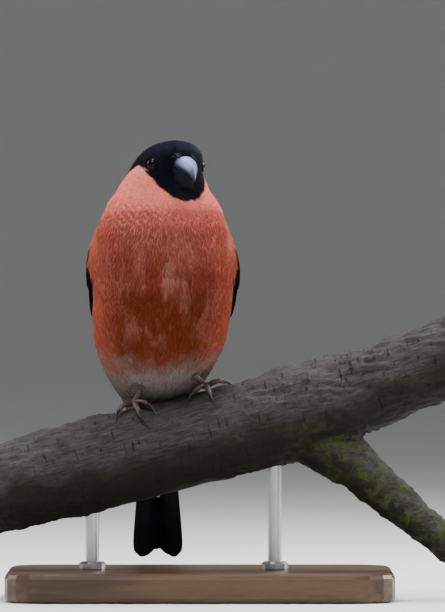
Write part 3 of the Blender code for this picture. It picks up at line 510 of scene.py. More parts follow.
def markings(points, look):
    """Colour of the plumage at each point, with painted top light, sheen and shade in it, and how
    much of it is cap.
    """
    ahead, up, left = in_head(points)
    x, z = points[..., 0], points[..., 2]
    centre, half = section(z)[:2]
    rearward = rearward_of(points)
    broad = flow_noise(points, 7.0, 3.0)
    fine = flow_noise(points * (1.0, 1.0, 0.32), 1.5, 4.0)
    cloud = flow_noise(points * (1.0, 1.0, 0.55), 6.0, 12.0)
    streaks = flow_noise(points * (1.0, 1.0, 0.3), 3.2, 9.0)
    middle_part = np.exp(-((x - centre - 2.0) / 13.0) ** 2)
    flank = np.abs(x - centre) / half
    frost = np.clip(0.25 + 0.8 * fine + 1.4 * cloud, 0, 1) * (0.35 + 0.65 * middle_part)
    colour = np.tile(np.array(look.breast), (len(points), 1))
    for over, share in (
            # Lower breast: a deeper orange of its own, and painted shade that darkens it downwards
            # under the light from above.
            (look.lower_breast_with_painted_shade, ease(z + 5 * broad, 62, 34)),
            # Cheeks and throat: salmon red of their own, painted much lighter than the breast for the
            # light from above.
            (look.cheek_with_painted_light, ease(z + 1.5 * broad - 2.0 * middle_part, 56, 75)),
            (look.frost, frost * ease(z, 66, 54) * ease(z, 14, 26) * 0.75),
            (look.flank, 0.65 * ease(flank, 0.55, 0.98) * ease(z, 66, 56)),
            # Belly: greyish white of its own, painted dark as shade under the body.
            (look.belly, ease(z - 4 * flank ** 2 + 5.0 * broad + 1.5 * fine + 2.5 * streaks, 18, 5)),
            (look.mantle, ease(rearward + 0.10 * broad + 0.05 * fine, 0.30, 0.44) * ease(z, 82, 76)),
            (look.rump, ease(z + 2 * broad, 28, 21) * ease(rearward, 0.15, 0.4))):
        colour = painted(colour, over, share)
    round_head = np.degrees(np.arctan2(np.abs(left), ahead))
    border, = read_rows(CAP_LINE, round_head)
    border = border + 0.35 * fine + 0.3 * flow_noise(points, 2.2, 6.0)
    pale = np.exp(-((round_head - 74) / 11) ** 2 - ((up - border + 1.1) / 1.3) ** 2)
    colour = painted(colour, look.pale_spot, 0.75 * pale * (z > 66))
    cap = ease(up - border, -0.45, 0.25) * (z > 64)
    # Painted sheen: the blue of the cap's gloss is laid into its black on the top of the crown, where
    # the light from above falls.
    crown = ease(up, 5.0, 10.5) * np.clip(0.45 + 0.5 * broad + 0.9 * fine, 0, 1)
    black = painted(np.array(look.cap), look.cap_painted_sheen, crown)
    return lerp(colour, black, cap[:, None]), cap


def over_wing(points, margin):
    """Whether each point lies inside the bed of a folded wing, by a margin in degrees."""
    angle = np.degrees(body_angle(points))
    angle = np.where(angle < -90, angle + 360, angle)
    angle = np.where(angle > 90, 180 - angle, angle)
    z = points[..., 2]
    first, last = read_rows([(key, low, min(high, 88)) for key, low, high in WING_BED_ROWS], z)
    return (angle > first + margin) & (angle < last - 2) & (z < 62)


# Meshes
def set_field(mesh, key, values):
    """Gives the points of a mesh a named number, direction or colour each."""
    values = np.asarray(values, np.float32)
    kind, slot = {1: ("FLOAT", "value"), 3: ("FLOAT_VECTOR", "vector"),
                  4: ("FLOAT_COLOR", "color")}[1 if values.ndim == 1 else values.shape[-1]]
    mesh.attributes.new(key, kind, "POINT").data.foreach_set(slot, values.ravel())


def opaque(colours):
    return np.concatenate((colours, np.ones((len(colours), 1))), 1)


def shown(name, mesh):
    """Object in the scene that holds a mesh."""
    item = bpy.data.objects.new(name, mesh)
    bpy.context.scene.collection.objects.link(item)
    return item


def evaluated(item, **options):
    """New mesh of an object with its modifiers applied."""
    bpy.context.view_layer.update()
    graph = bpy.context.evaluated_depsgraph_get()
    return bpy.data.meshes.new_from_object(item.evaluated_get(graph), depsgraph=graph, **options)


def unite(base, extra):
    """Joins a closed body to another, and removes the one that was joined on."""
    union = base.modifiers.new("union", "BOOLEAN")
    union.operation = "UNION"
    union.solver = "MANIFOLD"
    union.object = extra
    made = evaluated(base)
    base.modifiers.clear()
    base.data = made
    bpy.data.objects.remove(extra)


def places_of(vertices):
    """Places of vertices in millimetres."""
    return np.array([tuple(vertex.co) for vertex in vertices]) / MM - PERCH_TOP


def make_mesh(name, points, faces, fields=None, turned=True):
    """Mesh object in metres from points in millimetres, with its faces turned outwards."""
    mesh = bpy.data.meshes.new(name)
    mesh.from_pydata(((np.asarray(points) + PERCH_TOP) * MM).tolist(), [], faces)
    for key, values in (fields or {}).items():
        set_field(mesh, key, values)
    if turned:
        bm = bmesh.new()
        bm.from_mesh(mesh)
        bmesh.ops.recalc_face_normals(bm, faces=bm.faces)
        bm.to_mesh(mesh)
        bm.free()
    mesh.shade_smooth()
    mesh.update()
    return shown(name, mesh)


def tube(rings, closed=False):
    """Points and faces of a tube through rings of points, capped, or closed on itself."""
    rings = np.asarray(rings, float)
    rows, columns = rings.shape[:2]
    points = rings.reshape(-1, 3)
    faces = []
    for i in range(rows if closed else rows - 1):
        near, far = i * columns, (i + 1) % rows * columns
        for j in range(columns):
            k = (j + 1) % columns
            faces.append((near + j, near + k, far + k, far + j))
    if not closed:
        points = np.concatenate((points, rings[:1].mean(1), rings[-1:].mean(1)))
        first, last = rows * columns, rows * columns + 1
        for j in range(columns):
            k = (j + 1) % columns
            faces.append((k, j, first))
            faces.append((first - columns + j, first - columns + k, last))
    return points, faces


def ring_field(values, sides, ends):
    """One value for each ring of a tube, and one for the middle of each cap."""
    return np.concatenate((np.repeat(values, sides), ends))


def join_parts(parts):
    """One list of points, faces and fields from several that have the same fields."""
    faces, start = [], 0
    for points, part_faces, _ in parts:
        faces += [tuple(index + start for index in face) for face in part_faces]
        start += len(points)
    points = np.concatenate([part[0] for part in parts])
    return points, faces, merged([part[2] for part in parts])


def merged(batches):
    """One set of arrays from several sets that have the same keys."""
    return {key: np.concatenate([batch[key] for batch in batches]) for key in batches[0]}


def path_rings(path, radii, sides):
    """Rings of points round a path; radii has a value for each ring, or for each point."""
    path = np.asarray(path, float)
    ahead = unit(np.gradient(path, axis=0))
    reference = np.array((0.0, 0.0, 1.0)) if abs(ahead[0][2]) < 0.8 else np.array((0.0, 1.0, 0.0))
    across = unit(np.cross(ahead, reference))
    upward = np.cross(across, ahead)
    turn = np.linspace(0, 2 * math.pi, sides, endpoint=False)[None, :, None]
    radii = np.asarray(radii, float)
    if radii.ndim == 1:
        radii = radii[:, None]
    spokes = across[:, None] * np.cos(turn) + upward[:, None] * np.sin(turn)
    return path[:, None] + spokes * radii[..., None]


def settle(item, finish, slot, *nodes):
    """Gives a finished piece its material and hides the solids that it stands for; slot is not used.
    """
    if finish is not None:
        item.data.materials.clear()
        item.data.materials.append(finish)
    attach(item, ROOT)
    if nodes:
        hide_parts(*nodes)


# Node trees
class Wire:
    """Output of a node that takes part in plain arithmetic."""

    def __init__(self, sheet, socket):
        self.sheet = sheet
        self.socket = socket

    def combined(self, operation, first, second):
        return self.sheet.add("ShaderNodeMath", {"operation": operation}, (first, second))

    def __add__(self, other):
        return self.combined("ADD", self, other)

    def __sub__(self, other):
        return self.combined("SUBTRACT", self, other)

    def __rsub__(self, other):
        return self.combined("SUBTRACT", other, self)

    def __mul__(self, other):
        return self.combined("MULTIPLY", self, other)

    __radd__ = __add__
    __rmul__ = __mul__

    def within(self, low, high, start=0.0, end=1.0):
        """Smooth change from start to end while the value goes from low to high."""
        return self.sheet.add("ShaderNodeMapRange", {"interpolation_type": "SMOOTHSTEP"},
                              (self, low, high, start, end))


class Sheet:
    """Node tree being built."""

    def __init__(self, tree):
        self.tree = tree

    def add(self, kind, settings=None, values=(), out=0):
        node = self.tree.nodes.new(kind)
        for key, value in (settings or {}).items():
            setattr(node, key, value)
        pairs = values.items() if isinstance(values, dict) else enumerate(values)
        for key, value in pairs:
            self.feed(node.inputs[key], value)
        return Wire(self, node.outputs[out]) if node.outputs else node

    def feed(self, socket, value):
        if isinstance(value, Wire):
            self.tree.links.new(value.socket, socket)
        elif value is not None:
            solid = socket.type == "RGBA" and len(value) == 3
            socket.default_value = (*value, 1) if solid else value


class Finish(Sheet):
    """Procedural material being built."""

    def __init__(self, name, **constants):
        self.made = bpy.data.materials.new(name)
        self.made.use_nodes = True
        super().__init__(self.made.node_tree)
        self.shader = self.tree.nodes["Principled BSDF"]
        for key, value in constants.items():
            self.shader.inputs[key.replace("_", " ")].default_value = value

    def done(self, colour, roughness, height=None, depth=0.1):
        """Feeds the shader; depth is the bump's height in millimetres."""
        self.feed(self.shader.inputs["Base Color"], colour)
        self.feed(self.shader.inputs["Roughness"], roughness)
        if height is not None:
            bump = self.add("ShaderNodeBump", None, {"Strength": 1.0, "Distance": depth * MM,
                                                     "Height": height})
            self.feed(self.shader.inputs["Normal"], bump)
        return self.made

    def attribute(self, name, out=2):
        return self.add("ShaderNodeAttribute", {"attribute_name": name}, (), out)

    def place(self, stretch=(1, 1, 1), turn=(0, 0, 0)):
        """Object coordinates in millimetres, turned and then stretched."""
        here = self.add("ShaderNodeTexCoord", None, (), 3)
        scale = tuple(MM * part for part in stretch)
        return self.add("ShaderNodeMapping", {"vector_type": "TEXTURE"},
                        {"Vector": here, "Scale": scale, "Rotation": turn})

    def noise(self, size, detail=2.0, where=None, roughness=0.5):
        """Noise with features of a size in millimetres."""
        return self.add("ShaderNodeTexNoise", None,
                        {"Vector": where or self.place(), "Scale": 1 / size, "Detail": detail,
                         "Roughness": roughness})

    def mix(self, share, first, second):
        node = self.tree.nodes.new("ShaderNodeMix")
        node.data_type = "RGBA"
        for socket, value in zip((node.inputs[0], node.inputs[6], node.inputs[7]),
                                 (share, first, second)):
            self.feed(socket, value)
        return Wire(self, node.outputs[2])

    def shaded(self, colour, amount):
        """Colour made lighter or darker by a value."""
        return self.add("ShaderNodeVectorMath", {"operation": "SCALE"},
                        {"Vector": colour, "Scale": amount})


def planting_tree():
    """Geometry Nodes that set one of several shapes at every point, turned to its lie."""
    tree = bpy.data.node_groups.new("planted shapes", "GeometryNodeTree")
    face = tree.interface
    face.new_socket("Geometry", in_out="INPUT", socket_type="NodeSocketGeometry")
    for name, kind in (("Shapes", "Collection"), ("Width", "Float"), ("Rise", "Float"),
                       ("Rise Spread", "Float"), ("Turn Spread", "Float"), ("Patch", "Float"),
                       ("Seed", "Int"), ("Material", "Material")):
        face.new_socket(name, in_out="INPUT", socket_type="NodeSocket" + kind)
    face.new_socket("Geometry", in_out="OUTPUT", socket_type="NodeSocketGeometry")
    sheet = Sheet(tree)
    source = tree.nodes.new("NodeGroupInput")
    given = {socket.name: Wire(sheet, socket) for socket in source.outputs if socket.name}

    def field(name, kind="FLOAT_VECTOR"):
        return sheet.add("GeometryNodeInputNamedAttribute", {"data_type": kind}, {"Name": name})

    def chance(low, high, shift):
        seed = sheet.add("ShaderNodeMath", {"operation": "ADD"}, (given["Seed"], shift))
        return sheet.add("FunctionNodeRandomValue", {"data_type": "FLOAT"},
                         {2: low, 3: high, 8: seed}, 1)

    facing = sheet.add("FunctionNodeAxesToRotation",
                       {"primary_axis": "Z", "secondary_axis": "Y"}, (field("up"), field("lie")))
    rise = given["Rise"] + given["Rise Spread"] * chance(-1.0, 1.0, 1)
    turn = given["Turn Spread"] * chance(-1.0, 1.0, 2)
    roll = given["Turn Spread"] * chance(-0.7, 0.7, 3)
    euler = sheet.add("ShaderNodeCombineXYZ", None, (rise, roll, turn))
    local = sheet.add("FunctionNodeEulerToRotation", None, (euler,))
    rotation = sheet.add("FunctionNodeRotateRotation", {"rotation_space": "LOCAL"}, (facing, local))
    length = field("size", "FLOAT") * chance(0.85, 1.15, 4)
    scale = sheet.add("ShaderNodeCombineXYZ", None, (length * given["Width"], length, length))
    shapes = sheet.add("GeometryNodeCollectionInfo", None,
                       {"Collection": given["Shapes"], "Separate Children": True,
                        "Reset Children": True})
    pick = sheet.add("FunctionNodeRandomValue", {"data_type": "INT"}, {4: 0, 5: 99, 8: 5}, 2)
    planted = sheet.add("GeometryNodeInstanceOnPoints", None,
                        {"Points": given["Geometry"], "Instance": shapes, "Pick Instance": True,
                         "Instance Index": pick, "Rotation": rotation, "Scale": scale})
    solid = sheet.add("GeometryNodeRealizeInstances", None, (planted,))
    patch = sheet.add("ShaderNodeVectorMath", {"operation": "SCALE"},
                      {"Vector": field("patch"), "Scale": given["Patch"]})
    spot = sheet.add("ShaderNodeVectorMath", {"operation": "ADD"}, (field("spot"), patch))
    mapped = sheet.add("GeometryNodeStoreNamedAttribute",
                       {"data_type": "FLOAT2", "domain": "CORNER"},
                       {"Geometry": solid, "Name": "OFBake", "Value": spot})
    coloured = sheet.add("GeometryNodeSetMaterial", None,
                         {"Geometry": mapped, "Material": given["Material"]})
    end = tree.nodes.new("NodeGroupOutput")
    sheet.feed(end.inputs[0], coloured)
    return tree


def planted(name, roots, shapes, settings, material):
    """Piece with a shape at every root. roots holds arrays: points, up, lie, size, tint, spot."""
    tree = bpy.data.node_groups.get("planted shapes") or planting_tree()
    mesh = bpy.data.meshes.new(name + "_roots")
    mesh.from_pydata(((roots["points"] + PERCH_TOP) * MM).tolist(), [], [])
    for key, values in (("up", roots["up"]), ("lie", roots["lie"]), ("spot", roots["spot"]),
                        ("size", roots["size"] * MM), ("tint", opaque(roots["tint"]))):
        set_field(mesh, key, values)
    source = shown(name + "_roots", mesh)
    modifier = source.modifiers.new("planting", "NODES")
    modifier.node_group = tree
    values = dict(settings, Shapes=shapes, Material=material)
    for item in tree.interface.items_tree:
        if item.in_out == "INPUT" and item.name in values:
            modifier[item.identifier] = values[item.name]
    made = evaluated(source, preserve_all_data_layers=True)
    made.name = name
    source.modifiers.clear()
    bpy.data.objects.remove(source)
    for key in ("up", "lie", "spot", "size", "patch"):
        if key in made.attributes:
            made.attributes.remove(made.attributes[key])
    return shown(name, made)


def planting(sizes, width, rise, rise_spread, turn_spread):
    """Inputs of the planting for one kind of shape."""
    return {"Width": width, "Rise": rise, "Rise Spread": rise_spread, "Turn Spread": turn_spread,
            "Patch": PATCH, "Seed": sizes.seed}


def map_spot(across, up):
    """Places on a piece's map."""
    return np.stack((across, up, np.zeros(len(across))), 1)


def skin_spot(around, down):
    """Places on the unwrapped skin, from shares round and down the body."""
    return map_spot(0.01 + 0.86 * around, 0.98 - 0.96 * down)


def shape_set(name, shapes):
    """Collection of small shapes of unit length, each given as points, faces and reach."""
    group = bpy.data.collections.new(name)
    for i, (points, faces, reach) in enumerate(shapes):
        mesh = bpy.data.meshes.new("{}_{}".format(name, i))
        mesh.from_pydata(points, [], faces)
        set_field(mesh, "reach", reach)
        set_field(mesh, "patch", [(x, y - 0.5, 0.0) for x, y, z in points])
        group.objects.link(bpy.data.objects.new(mesh.name, mesh))
    return group


def drop_shapes(*groups):
    """Removes shapes that have been planted."""
    for group in groups:
        for item in list(group.objects):
            bpy.data.objects.remove(item)
        bpy.data.collections.remove(group)


def tuft_shape(barbs, seed, waist=0.55, droop=0.03):
    """Closed small feather along y: a leaf whose outer half parts into barbs."""
    chance = np.random.default_rng(seed)
    rim = [(0.0, 0.0), (-0.30, 0.2)]
    for i in range(barbs):
        share = i / (barbs - 1) * 2 - 1
        angle = share * 0.55 + chance.uniform(-0.05, 0.05)
        reach = (1.0 - 0.24 * share ** 2) * chance.uniform(0.86, 1.04)
        rim.append((math.sin(angle) * reach * 0.95, math.cos(angle) * reach))
        if i < barbs - 1:
            angle = (share + 1 / (barbs - 1)) * 0.55
            notch = waist * chance.uniform(0.85, 1.15)
            rim.append((math.sin(angle) * notch * 0.95, math.cos(angle) * notch))
    rim.append((0.30, 0.2))
    points = [(x, y, -droop * y * y - 0.05 * abs(x)) for x, y in rim]
    points += [(0.0, 0.42, 0.045), (0.0, 0.34, -0.07)]
    count = len(rim)
    faces = []
    for i in range(count):
        k = (i + 1) % count
        faces += [(k, i, count), (i, k, count + 1)]
    return points, faces, [min(1.0, max(0.0, y)) for x, y, z in points]


def hair_shape(seed, curve=0.18):
    """Closed thin bristle along y that bends down to its point."""
    chance = np.random.default_rng(seed)
    lean = chance.uniform(-0.08, 0.08)
    points = []
    for share, radius in ((0.0, 0.045), (0.5, 0.032)):
        for j in range(3):
            turn = 2 * math.pi * j / 3
            points.append((radius * math.cos(turn) + lean * share, share,
                           radius * math.sin(turn) - curve * share ** 2))
    points.append((lean, 1.0, -curve))
    faces = [(0, 1, 2)]
    for j in range(3):
        k = (j + 1) % 3
        faces += [(j, j + 3, k + 3, k), (j + 3, 6, k + 3)]
    return points, faces, [y for x, y, z in points]


# Finishes
def plumage_finish(name, look, root_shade, roughness, specular, glossy=False):
    finish = Finish(name, Specular_IOR_Level=specular)
    tint = finish.attribute("tint", 0)
    reach = finish.attribute("reach")
    streak = finish.noise(0.40, 3.0, finish.place((1, 1, 4)))
    patch = finish.noise(3.5, 2.0)
    light = (0.80 + 0.40 * streak) * (0.88 + 0.24 * patch)
    light = light * reach.within(0.0, 0.75, root_shade, 1.0)
    colour = finish.shaded(tint, light)
    # With glossy set, patches of the cap's blue are laid into the colour as a painted sheen.
    if glossy:
        colour = finish.mix(patch.within(0.45, 0.75, 0.0, 0.12), colour, look.cap_painted_sheen)
    rough = streak.within(0.2, 0.8, roughness - 0.08, roughness + 0.08)
    return finish.done(colour, rough, streak, 0.05)


def vane_finish(name, sizes, look, roughness):
    """Finish of flight feathers: fine barbs slanting out from the shaft."""
    finish = Finish(name, Specular_IOR_Level=0.10)
    tint = finish.attribute("tint", 0)
    along = finish.attribute("along")
    across = finish.attribute("across")
    out = finish.add("ShaderNodeMath", {"operation": "ABSOLUTE"}, (across - sizes.shaft_place,))
    slant = (along - out * 0.55) * (1.0 / sizes.barb_gap)
    barbs = finish.add("ShaderNodeMath", {"operation": "SINE"}, (slant * (2 * math.pi),))
    shaft = out.within(0.05, 0.32, 1.0, 0.0)
    patch = finish.noise(4.0, 2.0)
    colour = finish.shaded(tint, (0.85 + 0.3 * patch) * (1.0 + 0.10 * barbs))
    colour = finish.mix(shaft * 0.6, colour, look.shaft)
    # Painted sheen: patches of blue gloss laid into the colour, away from the shaft.
    colour = finish.mix(patch.within(0.4, 0.8, 0.0, 0.35) * (1.0 - shaft), colour,
                        look.flight_painted_sheen)
    rough = patch.within(0.2, 0.8, roughness - 0.06, roughness + 0.1)
    return finish.done(colour, rough, barbs * 0.5 + shaft * 3.0, 0.05)


# Body
def make_skin(look):
    """One skin over head, neck, trunk and thighs, under the coat by its depth."""
    picks = np.linspace(0, GRID_ROWS - 1, GRID_ROWS // 2).astype(int)
    points, facing = GRID_POINTS[picks][:, ::2], GRID_FACING[picks][:, ::2]
    flat = points.reshape(-1, 3)
    depth = coat_depth(flat) + 0.12 * flow_noise(flat, 2.4, 8.0)
    inset = (flat - facing.reshape(-1, 3) * depth[:, None]).reshape(points.shape)
    skin = make_mesh("skin", *tube(inset))
    closed_at = 1.12
    for label, side in SIDES:
        top, end = thigh_axis(label)
        shares = np.linspace(0, closed_at, 16)
        path = top + (end - top) * shares[:, None]
        radii = thigh_radius(shares, closed_at)
        unite(skin, make_mesh("thigh", *tube(path_rings(path, radii, 28))))
    place = places_of(skin.data.vertices)
    set_field(skin.data, "tint", opaque(markings(place, look)[0]))
    set_field(skin.data, "reach", np.full(len(place), 0.5))
    skin.data.shade_smooth()
    settle(skin, plumage_finish("skin_down", look, 0.35, 0.9, 0.2), "breast_plumage", "head", "neck",
           "torso", "belly", "thigh_left", "thigh_right")


def body_roots(sizes, look):
    """Roots of all the body's small feathers."""
    length = feather_length(GRID_POINTS.reshape(-1, 3)).reshape(GRID_AREA.shape)
    weight = GRID_AREA * sizes.cover / length ** 2
    weight[GRID_HEIGHTS < -18.5] = 0
    rows, columns = spread(int(weight.sum()), weight + 1e-9)
    jitter = np.random.default_rng(sizes.seed)
    columns = np.mod(columns + jitter.uniform(-0.2, 0.2, len(columns)), GRID_COLUMNS)
    points = read_grid(GRID_POINTS, rows, columns)
    facing = unit(read_grid(GRID_FACING, rows, columns))
    lie = feather_lie(points, facing)
    size = feather_length(points)
    ahead, up, left = in_head(points)
    tops, bottoms, widths = (smooth_table(rows_of, ahead)[:, 0]
                             for rows_of in (CULMEN, CHIN, BILL_HALF_WIDTH))
    keep = ~((ahead > 8.6) & (np.abs(left) < widths - 0.9) & (up < tops - 0.8)
             & (up > bottoms + 0.8))
    for axis, place in EYES.values():
        for along, gap in ((0.0, 2.75), (0.6, 2.5), (1.0, 2.35)):
            away = points + lie * (size * along)[:, None] - place
            radial = away - (away @ axis)[:, None] * axis
            near = (np.linalg.norm(away, axis=1) < 5) & (np.linalg.norm(radial, axis=1) < gap)
            if along == 0.0:
                keep &= ~near
            else:
                size = np.where(near, size * 0.55, size)
    keep &= ~over_wing(points + lie * size[:, None] * 0.5, sizes.wing_margin)
    colour, cap = markings(points, look)
    tint = np.clip(colour * jitter.normal(1.0, 0.07, len(points))[:, None], 0, 1)
    roots = {"points": points - facing * coat_depth(points)[:, None], "up": facing, "lie": lie,
             "size": size, "tint": tint, "cap": cap, "height": points[:, 2],
             "spot": skin_spot(columns / GRID_COLUMNS, rows / GRID_ROWS),
             "rear": points[:, 1] - section(points[:, 2])[2]}
    return {key: values[keep] for key, values in roots.items()}


def flank_roots(sizes, look):
    """Roots of the long flank feathers that overlap the front edge of each folded wing."""
    chance = np.random.default_rng(sizes.seed + 3)
    batches = []
    for label, side in SIDES:
        count = sizes.flank_feathers
        high, share = strewn(count)
        z = lerp(*FLANK_HEIGHTS, high)
        angle = np.radians(lerp(*read_rows(FLANK_ROWS, z), share))
        angle = angle if side > 0 else math.pi - angle
        grown = ease(z, 36, 54)
        lift = lerp(-1.0, FLANK_LIFT * grown, share ** 1.5) - 0.7 * (1 - grown)
        points = body_point(z, angle, lift)
        facing = unit(body_point(z, angle, 1.0) - points)
        backward = side * np.cross((0.0, 0.0, 1.0), facing)
        lie = unit(backward * lerp(0.35, 0.75, share)[:, None] + np.array((0.0, 0.0, -1.0)))
        lie = unit(lie + facing * lerp(0.0, 0.18, share * grown)[:, None])
        facing = unit(facing - lie * (facing * lie).sum(-1, keepdims=True))
        size = lerp(3.6, 5.6, share) * lerp(0.7, 1.0, grown)
        colour = np.clip(markings(points, look)[0] * chance.normal(1.0, 0.07, (count, 1)), 0, 1)
        rows = np.interp(-z, -GRID_HEIGHTS, np.arange(GRID_ROWS))
        spot = skin_spot((angle / (2 * math.pi)) % 1, rows / GRID_ROWS)
        batches.append({"points": points, "up": facing, "lie": lie, "size": size,
                        "tint": colour, "spot": spot})
    return merged(batches)


def thigh_roots(sizes, look):
    """Roots of the short feathers of both thighs."""
    jitter = np.random.default_rng(sizes.seed + 1)
    count = sizes.thigh_feathers
    batches = []
    for number, (label, side) in enumerate(SIDES):
        top, end = thigh_axis(label)
        along = unit(end - top)
        across = unit(np.cross(along, (0.0, 1.0, 0.0)))
        upward = np.cross(across, along)
        share = 0.15 + 0.80 * np.sqrt((np.arange(count) + 0.5) / count)
        turn = np.arange(count) * 2.39996
        out = across * np.cos(turn)[:, None] + upward * np.sin(turn)[:, None]
        points = top + (end - top) * share[:, None] + out * thigh_radius(share, 1.15)[:, None]
        # Greyish white of the thighs, painted dark as shade under the body.
        colour = np.array(look.thigh) * jitter.normal(1, 0.08, (count, 1))
        spot = map_spot(0.89 + 0.045 * number + 0.04 * (turn / (2 * math.pi) % 1),
                        0.05 + 0.4 * share)
        batches.append({"points": points, "up": out, "lie": np.tile(along, (count, 1)),
                        "size": np.interp(share, (0.15, 0.7, 0.95), (2.6, 2.0, 1.3)),
                        "tint": np.clip(colour, 0, 1), "spot": spot})
    return merged(batches)


def make_coat(sizes, look):
    """Small feathers in tracts, and those of the flanks and thighs."""
    roots = body_roots(sizes, look)
    tufts = shape_set("tuft", [tuft_shape(5, seed) for seed in (3, 4, 5, 6)])
    loose = shape_set("loose_tuft", [tuft_shape(6, seed, 0.40) for seed in (7, 8, 9, 10)])
    soft = plumage_finish("soft_plumage", look, 0.90, 0.9, 0.08)
    # Finish of the cap, with its painted blue sheen.
    glossy = plumage_finish("cap_plumage", look, 0.8, 0.60, 0.08, True)
    height, cap, rear = roots["height"], roots["cap"] > 0.5, roots["rear"] > 4.0
    front, back = ~cap & ~rear & (height <= 66), ~cap & rear & (height <= 66)
    tracts = (
        ("cap_feathers", cap, "cap_plumage", tufts, glossy, 0.34, 0.16),
        ("cheek_feathers", ~cap & (height > 66), "breast_plumage", tufts, soft, 0.46, 0.15),
        ("breast_feathers_upper", front & (height > 47), "breast_plumage", loose, soft, 0.40, 0.13),
        ("breast_feathers_lower", front & (height <= 47) & (height > 22), "breast_plumage", loose,
         soft, 0.42, 0.13),
        ("belly_feathers", front & (height <= 22), "belly_plumage", loose, soft, 0.46, 0.12),
        ("back_feathers", back, "belly_plumage", tufts, soft, 0.5, 0.13),
    )
    for name, chosen, slot, shapes, finish, width, rise in tracts:
        picked = {key: values[chosen] for key, values in roots.items()}
        inputs = planting(sizes, width, rise, 0.025, 0.11)
        settle(planted(name, picked, shapes, inputs, finish), None, slot)
    for name, picked, slot, shapes, width, rise in (
            ("flank_feathers", flank_roots(sizes, look), "breast_plumage", loose, 0.32, 0.10),
            ("thigh_feathers", thigh_roots(sizes, look), "belly_plumage", tufts, 0.34, 0.13)):
        inputs = planting(sizes, width, rise, 0.025, 0.11)
        settle(planted(name, picked, shapes, inputs, soft), None, slot)
    drop_shapes(tufts, loose)


# Wings and tail
VANE_ROWS = 13
VANE_LINES = (-1.0, -0.72, -0.40, -0.31, -0.22, 0.1, 0.42, 0.74, 1.0)
VANE_SHAFT = -0.31
LONG_FORM = ((0.0, 0.5), (0.2, 0.82), (0.4, 0.98), (0.6, 1.0), (0.8, 0.95), (0.9, 0.78),
             (0.96, 0.55), (1.0, 0.16))
TAIL_FORM = ((0.0, 0.5), (0.35, 0.82), (0.7, 0.98), (0.9, 1.0), (0.96, 0.86), (0.985, 0.62),
             (1.0, 0.2))
COVERT_FORM = ((0.0, 0.6), (0.35, 0.95), (0.7, 1.0), (0.85, 0.86), (0.95, 0.56), (1.0, 0.16))
LONG_TIERS = ("primary", "secondary", "tertial")

# Coverts of the tail: where their row starts and ends along it, their levels there, their colour
TAIL_COVERTS = ((6, 30, 1.6, 2.7, "flight"), (3, 22, 3.0, 3.9, "flight"),
                (6, 34, -3.0, -3.9, "rump"), (3, 24, -4.4, -5.2, "rump"))
TAIL_COVERT_COUNT = 5
# Root of the tail under them: place along it, half width, half depth, level
TAIL_CORE = ((-6.0, 8.4, 6.8, 0.8), (2.0, 7.8, 6.2, 0.6), (9.0, 6.4, 4.6, 0.0),
             (16.0, 5.4, 2.8, -0.4), (22.0, 4.0, 1.2, -0.5))


def vane(place, width, form, colour, deep, number):
    """One feather blade. place(share, across, height) gives points; colour(share, line) gives
    its colours; number is its place in the piece's map."""
    share = np.concatenate((np.linspace(0, 0.84, VANE_ROWS - 5), (0.9, 0.94, 0.97, 0.99, 1.0)))
    share, line = np.meshgrid(share, np.array(VANE_LINES), indexing="ij")
    across = width / 2 * smooth_table(form, share[:, :1])[..., 0] * line
    crown = deep * (1 - 0.55 * line ** 2) + 0.16 * (np.abs(line - VANE_SHAFT) < 0.02) * (1 - share)
    rows, columns = share.shape
    size = rows * columns
    points = np.concatenate([place(share, across, height).reshape(-1, 3)
                             for height in (crown, np.zeros_like(share))])
    faces = []
    for i in range(rows - 1):
        for a in range(i * columns, (i + 1) * columns - 1):
            faces.append((a, a + 1, a + columns + 1, a + columns))
            faces.append((a + size, a + columns + size, a + columns + 1 + size, a + 1 + size))
        for a in (i * columns, (i + 1) * columns - 1):
            faces.append((a, a + columns, a + columns + size, a + size))
    for i in (0, rows - 1):
        for a in range(i * columns, (i + 1) * columns - 1):
            faces.append((a, a + 1, a + 1 + size, a + size))
    tint = np.asarray(colour(share, line), float).reshape(-1, 3)
    u = (number % MAP_CELLS + 0.04 + 0.44 * (line + 1) / 2).ravel() / MAP_CELLS
    v = (number // MAP_CELLS + 0.04 + 0.92 * share).ravel() / MAP_CELLS
    fields = {"tint": opaque(np.tile(tint, (2, 1))), "along": np.tile(share.ravel(), 2),
              "across": np.tile(line.ravel(), 2),
              "spot": map_spot(np.concatenate((u, u + 0.48 / MAP_CELLS)), np.tile(v, 2))}
    return points, faces, fields


def plain(colour):
    """Colouring of a blade that has one colour all over."""
    return lambda share, line: np.broadcast_to(colour, share.shape + (3,))


def feather_piece(name, parts):
    """Joins blades in one piece, with their map."""
    points, faces, fields = join_parts(parts)
    piece = make_mesh(name, points, faces, fields)
    mesh = piece.data
    layer = mesh.uv_layers.new(name="OFBake")
    corners = np.empty(len(mesh.loops), np.int32)
    mesh.loops.foreach_get("vertex_index", corners)
    layer.data.foreach_set("uv", fields["spot"][corners, :2].astype(np.float32).ravel())
    mesh.attributes.remove(mesh.attributes["spot"])
    return piece


def wing_floor(z):
    """Level of the wing's underside over the body's form at heights."""
    return smooth_table(WING_FLOOR, z)[..., 0]


def mirrored(points, side):
    """Points of the left wing, or the same on the bird's right."""
    if side < 0:
        points = points.copy()
        points[..., 0] = 2 * section(points[..., 2])[0] - points[..., 0]
    return points


def wing_place(side, root, tip, width, lift, stand):
    """Places of a wing feather's blade over the body, from its root to its tip."""

    def centre(share, off=0.0):
        return body_point(lerp(root[0], tip[0], share), np.radians(lerp(root[1], tip[1], share)), off)

    def place(share, across, height):
        here = centre(share)
        ahead = unit(centre(share + 0.02) - centre(share - 0.02))
        leading = unit(np.cross(ahead, centre(share, 1.0) - here))
        leading = np.where(leading[..., 1:2] > 0, -leading, leading)
        reach = here + leading * across[..., None]
        shift = wing_floor(reach[..., 2]) + lift + stand * (0.5 + across / width)
        return mirrored(snap_to_body(reach, shift + height), side)

    return place


